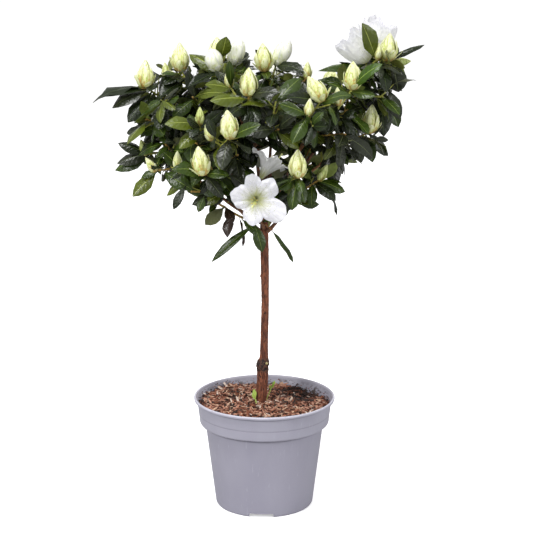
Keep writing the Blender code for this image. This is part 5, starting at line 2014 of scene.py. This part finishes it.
def turnedBody(profile, share, slot, sides=14, rings=10):
    def place(across, along):
        radius = profileAt(profile, along) * share
        return radius * math.cos(across * math.tau), along, radius * math.sin(across * math.tau)

    bm = bmesh.new()
    layPatch(bm, evenSteps(sides), evenSteps(rings), place, slot)
    bmesh.ops.remove_doubles(bm, verts=bm.verts, dist=0.0001)
    bmesh.ops.holes_fill(bm, edges=[edge for edge in bm.edges if edge.is_boundary], sides=0)
    bmesh.ops.recalc_face_normals(bm, faces=bm.faces)
    return bm


def joinedShape(body, sheets, underSlot):
    # a whole body and several sheets, each given a thin body of its own, as one shape
    for bm in sheets:
        giveBody(bm, budForm["thickness"], underSlot)
    shapes = [shapeOf(bm) for bm in (body, *sheets)]
    starts = np.cumsum([0] + [len(shape["points"]) for shape in shapes])
    keys = ("points", "sizes", "slots", "spots")
    joined = {key: np.concatenate([shape[key] for shape in shapes]) for key in keys}
    joined["corners"] = np.concatenate([shape["corners"] + start for shape, start in zip(shapes, starts)])
    return joined


def budShape(rows, seed):
    dice = random.Random(seed)
    scales = []
    for count, start, end, halfAngle, lift, tipLift, spread in rows:
        first = dice.uniform(0, math.tau)
        for number in range(count):
            turn = first + math.tau * number / count + dice.uniform(-0.15, 0.15)
            reach = end + dice.uniform(-spread, spread * 0.4) if end < 1 else end
            opened = tipLift * dice.uniform(0.4, 1.5)
            scales.append(bmesh.new())
            addScale(scales[-1], budForm["profile"], turn, start, reach, halfAngle, lift, opened, dice)
    return joinedShape(turnedBody(budForm["profile"], budForm["body"], 0), scales, 0)


def furledShape(seed):
    # petals still wound round one another, on a foot of short scales
    dice = random.Random(seed)
    f = furledForm
    sheets = []
    for number in range(f["petals"]):
        turn = math.tau * number / f["petals"] + dice.uniform(-0.2, 0.2)

        def place(across, along):
            angle = turn + math.radians(f["halfAngle"] * across + f["twist"] * along)
            edge = 1 - 0.05 * (1 - along) * across**2
            radius = profileAt(f["profile"], along * edge) * (0.98 + f["lap"] * (across + 1) / 2)
            crease = 0.02 * math.sin(across * 7 + number) * along
            return (radius + crease) * math.cos(angle), along * edge, (radius + crease) * math.sin(angle)

        sheets.append(bmesh.new())
        layPatch(sheets[-1], (-1, -0.6, -0.2, 0.2, 0.6, 1), evenSteps(9), place, 1)
    for number in range(f["scales"]):
        turn = math.tau * number / f["scales"] + dice.uniform(-0.2, 0.2)
        end = dice.uniform(0.20, 0.36)
        sheets.append(bmesh.new())
        addScale(sheets[-1], f["profile"], turn, 0.0, end, 46, 0.06, dice.uniform(0.1, 0.4), dice)
    return joinedShape(turnedBody(f["profile"], budForm["body"], 1), sheets, 1)


def budSurface(name, tip, middle, streak, foot, rim):
    material, tree, shader, where = startSurface(name, middle, 0.42)
    form = formOf(tree)
    parts = addNode(tree, "SeparateXYZ", {0: form}).outputs
    breakup = streaksOn(tree, where, 330)["Height"]
    lines = streaksOn(tree, where, 620, (1, 1, 0.25), 0.50, 0.66)
    ribs = streaksOn(tree, form, 1.8, (14, 1, 1))["Height"]
    colour = coat(
        tree, middle,
        (fadeOn(tree, parts["Y"], 0.25, 0.95, 0.5, breakup), tip),
        (lines["Mask"], streak),
        (fadeOn(tree, parts["Y"], 0.42, 0.04, 0.9, breakup), foot),
        # the scales' edges are tanned
        (fadeOn(tree, parts["X"], 0.10, 0.0, 0.16, lines["Height"]), rim),
        (fadeOn(tree, parts["X"], 0.90, 1.0, 0.16, lines["Height"]), rim),
    )
    feed(tree, shader, {
        "Base Color": colour,
        "Roughness": roughnessFrom(tree, breakup, 0.34, 0.52),
        "Normal": bumps(tree, (ribs, 0.0004)),
        "Subsurface Weight": 0.12, "Subsurface Radius": (0.004, 0.004, 0.002), "Subsurface Scale": 1.0,
    })
    return material


def makeBuds():
    b = budForm
    materials = [budSurface(name, *[tint(*one) for one in tints]) for name, tints in budTints.items()]
    full, opening, small = (
        [budShape(b[rows], b["seed"] + 20 * number + style) for style in range(b["styles"])]
        for number, rows in enumerate(("full", "opening", "small"))
    )
    furled = [furledShape(b["seed"] + 60 + style) for style in range(furledForm["styles"])]
    dice = random.Random(b["seed"])
    pile = newPile()
    sink = bloomForm["sink"]
    for shoot in [shoot for mass in grown.values() for shoot in mass["shoots"]]:
        kind = shoot["kind"]
        if kind in (None, "flower", "bell"):
            continue
        length, radius = bloomSizes[kind]
        length *= dice.uniform(0.94, 1.0)
        pale = kind in furledForm
        shape = dice.choice(furled if pale else small if kind == "small_bud" else full + opening)
        slots = [0, 1] if pale else [2, 2] if kind == "small_bud" and dice.random() < 0.4 else [0, 0]
        length *= furledForm.get(kind, 1.0)
        radius *= b["slim"]
        stand = aimedMatrix(shoot["place"] - shoot["aim"] * sink, shoot["aim"], up)
        spin = Matrix.Rotation(dice.uniform(0, math.tau), 4, "Y")
        addToPile(pile, shape, stand @ spin @ Matrix.Diagonal((radius, length + sink, radius, 1)), slots)
    layPiece("buds", meshFromPile("buds", pile, b["smoothAngle"]), materials, "bud")


flowerProfiles = {
    # how far the petals have opened and how high they have risen, from foot to rim
    "wide": (
        ((0, 0.05), (0.15, 0.10), (0.3, 0.20), (0.45, 0.38), (0.6, 0.62), (0.8, 0.84), (1, 1)),
        ((0, 0), (0.15, 0.28), (0.3, 0.56), (0.45, 0.80), (0.6, 0.93), (0.8, 1.0), (1, 0.98)),
    ),
    "bell": (
        ((0, 0.10), (0.15, 0.20), (0.3, 0.33), (0.5, 0.52), (0.7, 0.72), (0.88, 0.90), (1, 1)),
        ((0, 0), (0.15, 0.20), (0.3, 0.42), (0.5, 0.70), (0.7, 0.90), (0.88, 1.0), (1, 1.0)),
    ),
    "cup": (
        ((0, 0.09), (0.06, 0.32), (0.15, 0.58), (0.3, 0.82), (0.5, 0.95), (0.75, 1.0), (1, 1.0)),
        ((0, 0), (0.06, 0.03), (0.15, 0.12), (0.3, 0.30), (0.5, 0.54), (0.75, 0.82), (1, 1.0)),
    ),
}
flowerForms = {
    # lobes: where each starts, peaks and ends, in degrees from the right, its length and the notch after it,
    # in mm, how blunt it is, and on the cups how far it rises, in mm
    "front": {
        "shoot": ("centre_low", "flower", 0),
        "petal": (0.92, 0.915, 0.98),
        "shade": (0.80, 0.795, 0.885),
        "lobes": (
            (8, 43, 74, 26.4, 18.0, 2.3), (74, 99, 127, 26.6, 18.5, 1.35), (127, 168, 219, 25.4, 13.6, 1.4),
            (219, 258, 292, 24.4, 17.6, 2.3), (292, 330, 368, 33.0, 17.0, 1.8),
        ),
        "profile": "wide",
        "depth": 0.020,
        "fall": 0.0050,
        "ruffle": 0.0022,
        "uneven": 0.10,
        "throat": (0.70, 0.27),
        "seed": 3,
    },
    "side": {
        "shoot": ("centre_low", "bell", 0),
        "aim": (0.50, 0.20, 0.84),
        "shift": (0.0, -0.014, 0.0026),
        "lobes": (
            (-20, 16, 52, 20, 15, 1.7), (52, 98, 140, 24, 14, 1.7), (140, 172, 204, 17, 13.5, 1.9),
            (204, 240, 276, 22, 15, 1.8), (276, 308, 340, 21, 15, 1.7),
        ),
        "profile": "bell",
        "depth": 0.023,
        "fall": 0.0050,
        "ruffle": 0.0034,
        "uneven": 0.10,
        "throat": (0.42, 0.05),
        "seed": 11,
    },
    "topLeft": {
        "shoot": ("right_top", "bell", 0),
        "aim": (-0.72, 0.02, 0.72),
        "lobes": (
            (-30, 6, 42, 16.5, 14.5, 2.2, 0), (42, 78, 114, 18, 15, 2.4, 1), (114, 150, 186, 18, 15, 2.4, 2),
            (186, 222, 258, 17, 14.5, 2.2, 0), (258, 294, 330, 16, 14.5, 2.2, -1),
        ),
        "inner": 0.8,
        "petal": (0.97, 0.97, 0.95),
        "shade": (0.90, 0.90, 0.89),
        # painted shade: the lobes' outer parts are painted a darker lavender-grey
        "edge": (0.64, 0.64, 0.71),
        "depth": 0.033,
        "fall": 0.0070,
        "seed": 23,
    },
    "topRight": {
        "shoot": ("right_top", "bell", 1),
        "aim": (0.20, 0.08, 1.0),
        "lobes": (
            (-38, -2, 34, 20, 16, 2.6, 4), (34, 70, 106, 18, 15.5, 2.4, 1), (106, 142, 178, 18, 16, 2.2, -2),
            (178, 214, 250, 18, 16, 2.2, -3), (250, 286, 322, 20, 16, 2.4, -3),
        ),
        "inner": 0.8,
        # painted shade: the lobes' outer parts are painted a darker lavender-grey
        "edge": (0.62, 0.615, 0.68),
        "depth": 0.036,
        "fall": 0.0060,
        "seed": 31,
    },
}
# what a flower has where its own form says nothing else
plainFlower = {
    "shift": (0, 0, 0),
    "petal": (0.93, 0.93, 0.92),
    "shade": (0.83, 0.83, 0.84),
    # no painted shade on the lobes' outer parts
    "edge": None,
    "profile": "cup",
    "ruffle": 0.0027,
    "uneven": 0.07,
    "throat": (0.34, 0.04),
    "inner": 1,
    "sides": 160,
    "rings": 34,
    "thickness": 0.00035,
    "throatTint": (180, 184, 114),
    "freckleTint": (150, 158, 86),
    "threadTint": (222, 226, 150),
    "antherTint": (196, 178, 96),
    "smoothAngle": 70,
}
stamenForm = {
    "count": 5,
    # threads and pistil: length, radius, lean outwards, lean down and size of the tip
    "thread": ((0.018, 0.024), 0.00035, 0.15, -0.16, 0.7),
    "pistil": (0.029, 0.0007, 0.04, -0.34, 1.1),
    "foot": 0.002,
    "droop": 0.14,
    "tipRadius": 0.0013,
    "tipProfile": ((0, 0.5), (0.3, 1), (0.7, 1), (1, 0.4)),
}


def petalSurface(name, form):
    # white with a yellow-green throat, freckles at its edge and fine veins along the lobes
    petal, shade, reach = form["petal"], form["shade"], form["throat"]
    material, tree, shader, where = startSurface(name, petal, 0.5)
    lobe = formOf(tree)
    along = addNode(tree, "SeparateXYZ", {0: lobe}).outputs["Y"]
    breakup = streaksOn(tree, lobe, 1.4, (22, 2.4, 1))["Height"]
    coats = [
        (streaksOn(tree, where, 120, (1, 1, 1), 0.35, 0.7)["Mask"], shade),
        (streaksOn(tree, lobe, 1.5, (90, 1.2, 1), 0.56, 0.70)["Mask"], shade),
        (fadeOn(tree, along, *reach, 0.5, breakup), tint(*form["throatTint"])),
    ]
    # painted shade: where a form gives an edge colour, the lobes' outer parts are painted darker
    if form["edge"]:
        coats.append((fadeOn(tree, along, 0.50, 0.92, 0.5, breakup), form["edge"]))
    spots = streaksOn(tree, lobe, 1.5, (52, 26, 1), 0.60, 0.66)["Mask"]
    near = fadeOn(tree, along, reach[0] * 1.25, reach[0] * 0.9, 0.3, breakup)
    coats.append((maths(tree, "MULTIPLY", spots, near), tint(*form["freckleTint"])))
    veins = streaksOn(tree, lobe, 1.5, (60, 1.3, 1))["Height"]
    crumple = streaksOn(tree, where, 230)["Height"]
    feed(tree, shader, {
        "Base Color": coat(tree, petal, *coats),
        "Normal": bumps(tree, (veins, 0.0008), (crumple, 0.0012)),
        "Sheen Weight": 0.3, "Sheen Roughness": 0.6,
        "Subsurface Weight": 0.6, "Subsurface Radius": (0.005, 0.005, 0.005), "Subsurface Scale": 1.0,
    })
    return material


def flowerShape(form):
    # a funnel that opens into five ruffled lobes, from its foot at the origin along +Y
    opening, rising = flowerProfiles[form["profile"]]
    offset = Vector((form["seed"], form["seed"] * 0.7, 0))
    lobes = [
        (*[math.radians(turn) for turn in turns], length / 1000, notch / 1000, blunt, sum(lift) / 1000)
        for *turns, length, notch, blunt, lift in [(*lobe[:6], lobe[6:]) for lobe in form["lobes"]]
    ]
    middle = sum(lobe[3] + lobe[4] for lobe in lobes) / (2 * len(lobes))

    def lobeReach(turn):
        # how far the edge reaches at this turn, how near that is to a notch, and the lobe's rise
        for number, (start, peak, end, length, notch, blunt, lift) in enumerate(lobes):
            ahead = (turn - start) % math.tau
            if ahead <= end - start + 1e-6:
                before = lobes[number - 1][4]
                share = (ahead - (peak - start)) / ((peak - start) if ahead < peak - start else (end - peak))
                low = before if share < 0 else notch
                return low + (length - low) * (1 - abs(share) ** blunt) ** 0.85, abs(share), lift
        return middle, 0.0, 0.0

    def place(across, along):
        turn = across * math.tau
        reach, away, lift = lobeReach(turn)
        reach = middle + (reach - middle) * along**1.6
        radius = reach * profileAt(opening, along)
        height = form["depth"] * profileAt(rising, along)
        height -= form["fall"] * along**2.5 * away**2.6 - lift * along**2 * (1 - away**2)
        height += 0.0009 * along * math.exp(-((away / 0.10) ** 2)) * (1 - along)
        out = roundSpot(1, turn)
        wave = noise.noise(out * 2.6 + offset) + 0.55 * noise.noise(out * 6.0 + offset)
        height += form["ruffle"] * along**2.2 * wave * 1.5
        radius *= 1 + form["uneven"] * along**2 * noise.noise(out * 4.2 + offset * 2)
        return -radius * math.cos(turn), height, radius * math.sin(turn)

    bm = bmesh.new()
    layPatch(bm, evenSteps(form["sides"]), evenSteps(form["rings"]), place)
    bmesh.ops.remove_doubles(bm, verts=bm.verts, dist=0.00001)
    foot = [edge for edge in bm.edges if edge.is_boundary and max(v.co.y for v in edge.verts) < 0.001]
    bmesh.ops.holes_fill(bm, edges=foot, sides=0)
    bmesh.ops.recalc_face_normals(bm, faces=bm.faces)
    giveBody(bm, -form["thickness"], 0)
    bmesh.ops.recalc_face_normals(bm, faces=bm.faces)
    return shapeOf(bm)


def addStamens(pile, form, stand):
    s = stamenForm
    rod, tip = rodShape(), shapeOf(turnedBody(s["tipProfile"], 1.0, 0, 10, 6))
    dice = random.Random(form["seed"])
    for number in range(s["count"] + 1):
        pistil = number == s["count"]
        length, thick, outwards, down, tipSize = s["pistil" if pistil else "thread"]
        length = (length if pistil else dice.uniform(*length)) * form["inner"]
        turn = math.tau * number / s["count"] + 0.4
        lean = Vector((math.cos(turn), 0, math.sin(turn))) * outwards
        along = (Vector((0, 1, 0)) + lean + Vector((0.08, 0, down))).normalized()
        matrix = stand @ aimedMatrix(Vector((0, s["foot"], 0)), along, up)
        points = rod["points"] * np.array((thick, length, thick))
        points[:, 2] += (points[:, 1] / length) ** 2 * length * s["droop"]
        addToPile(pile, rod, matrix, [1], points)
        size = s["tipRadius"] * tipSize
        shift = Matrix.Translation((0, length - size * 0.4, length * s["droop"]))
        swell = Matrix.Diagonal((size * 0.7, size * 1.5, size * 0.7, 1))
        addToPile(pile, tip, matrix @ (shift @ swell), [1 if pistil else 2])


def makeFlowers():
    thread = plainSurface("stamenThread", tint(*plainFlower["threadTint"]), 0.5)
    anther = plainSurface("anther", tint(*plainFlower["antherTint"]), 0.7)
    for name, own in flowerForms.items():
        form = plainFlower | own
        massName, kind, number = form["shoot"]
        shoots = [shoot for shoot in grown[massName]["shoots"] if shoot["kind"] == kind]
        shoot = sorted(shoots, key=lambda one: one["place"].y)[number]
        aim = Vector(form.get("aim", shoot["aim"])).normalized()
        stand = aimedMatrix(shoot["place"] + Vector(form["shift"]) - aim * 0.001, aim, up)
        pile = newPile()
        addToPile(pile, flowerShape(form), stand)
        addStamens(pile, form, stand)
        piece = "flower_" + name
        materials = [petalSurface("petal_" + name, form), thread, anther]
        layPiece(piece, meshFromPile(piece, pile, form["smoothAngle"]), materials, "blossom")


sproutForm = {
    # young shoots: foot, rise, lean aside, count of leaves and share that is stem
    "shoots": ((-0.0082, -0.0086, 0.0175, -0.22, 2, 0.34), (0.0010, 0.0060, 0.0260, 0.42, 4, 0.72)),
    "seed": 8,
    "radius": 0.0007,
    "sink": 0.003,
    "leafWidth": 0.20,
    # a leaf's part: its colour, its second colour and its roughness
    "tints": {
        "sproutLeaf": ((150, 186, 70), (176, 204, 96), 0.4),
        "sproutUnderside": ((168, 190, 110), (150, 176, 90), 0.5),
        "sproutRib": ((196, 212, 120), (180, 200, 110), 0.5),
    },
}


def makeSprouts():
    s = sproutForm
    shapes = [leafShape(*style) for style in bladeForm["styles"]]
    materials = [
        leafSurface(name, tint(*first), tint(*second), roughness)
        for name, (first, second, roughness) in s["tints"].items()
    ]
    pile = newPile()
    stem = rodShape()
    dice = random.Random(s["seed"])
    for x, y, rise, lean, count, stemShare in s["shoots"]:
        foot = Vector((x, y, soilHeight(x, y)))
        along = Vector((lean, 0, 1)).normalized()
        tip = foot + along * rise * stemShare
        points = stem["points"] * np.array((s["radius"], (tip - foot).length + s["sink"], s["radius"]))
        stand = aimedMatrix(foot - along * s["sink"], along, Vector((0, -1, 0)))
        addToPile(pile, stem, stand, [2], points)
        for number in range(count):
            out = roundSpot(1, number * leafForm["golden"] + lean)
            reach = rise * (1 - stemShare) * (0.85 if number else 1.1) * dice.uniform(0.85, 1.0)
            way = (along + out * (0.5 if number else 0.08)).normalized()
            size = Matrix.Diagonal((reach * s["leafWidth"], reach, reach, 1))
            root = foot.lerp(tip, 0.66 + 0.10 * number if number else 1.0)
            addToPile(pile, dice.choice(shapes), aimedMatrix(root, way, Vector((0.2, -1, 0.1))) @ size)
    mesh = meshFromPile("foot_sprouts", pile, bladeForm["smoothAngle"])
    layPiece("foot_sprouts", mesh, materials, "foliage")


makeBuds()
makeFlowers()
makeSprouts()
makePrunedCut()
print("buds, flowers, sprouts and pruned cut made")
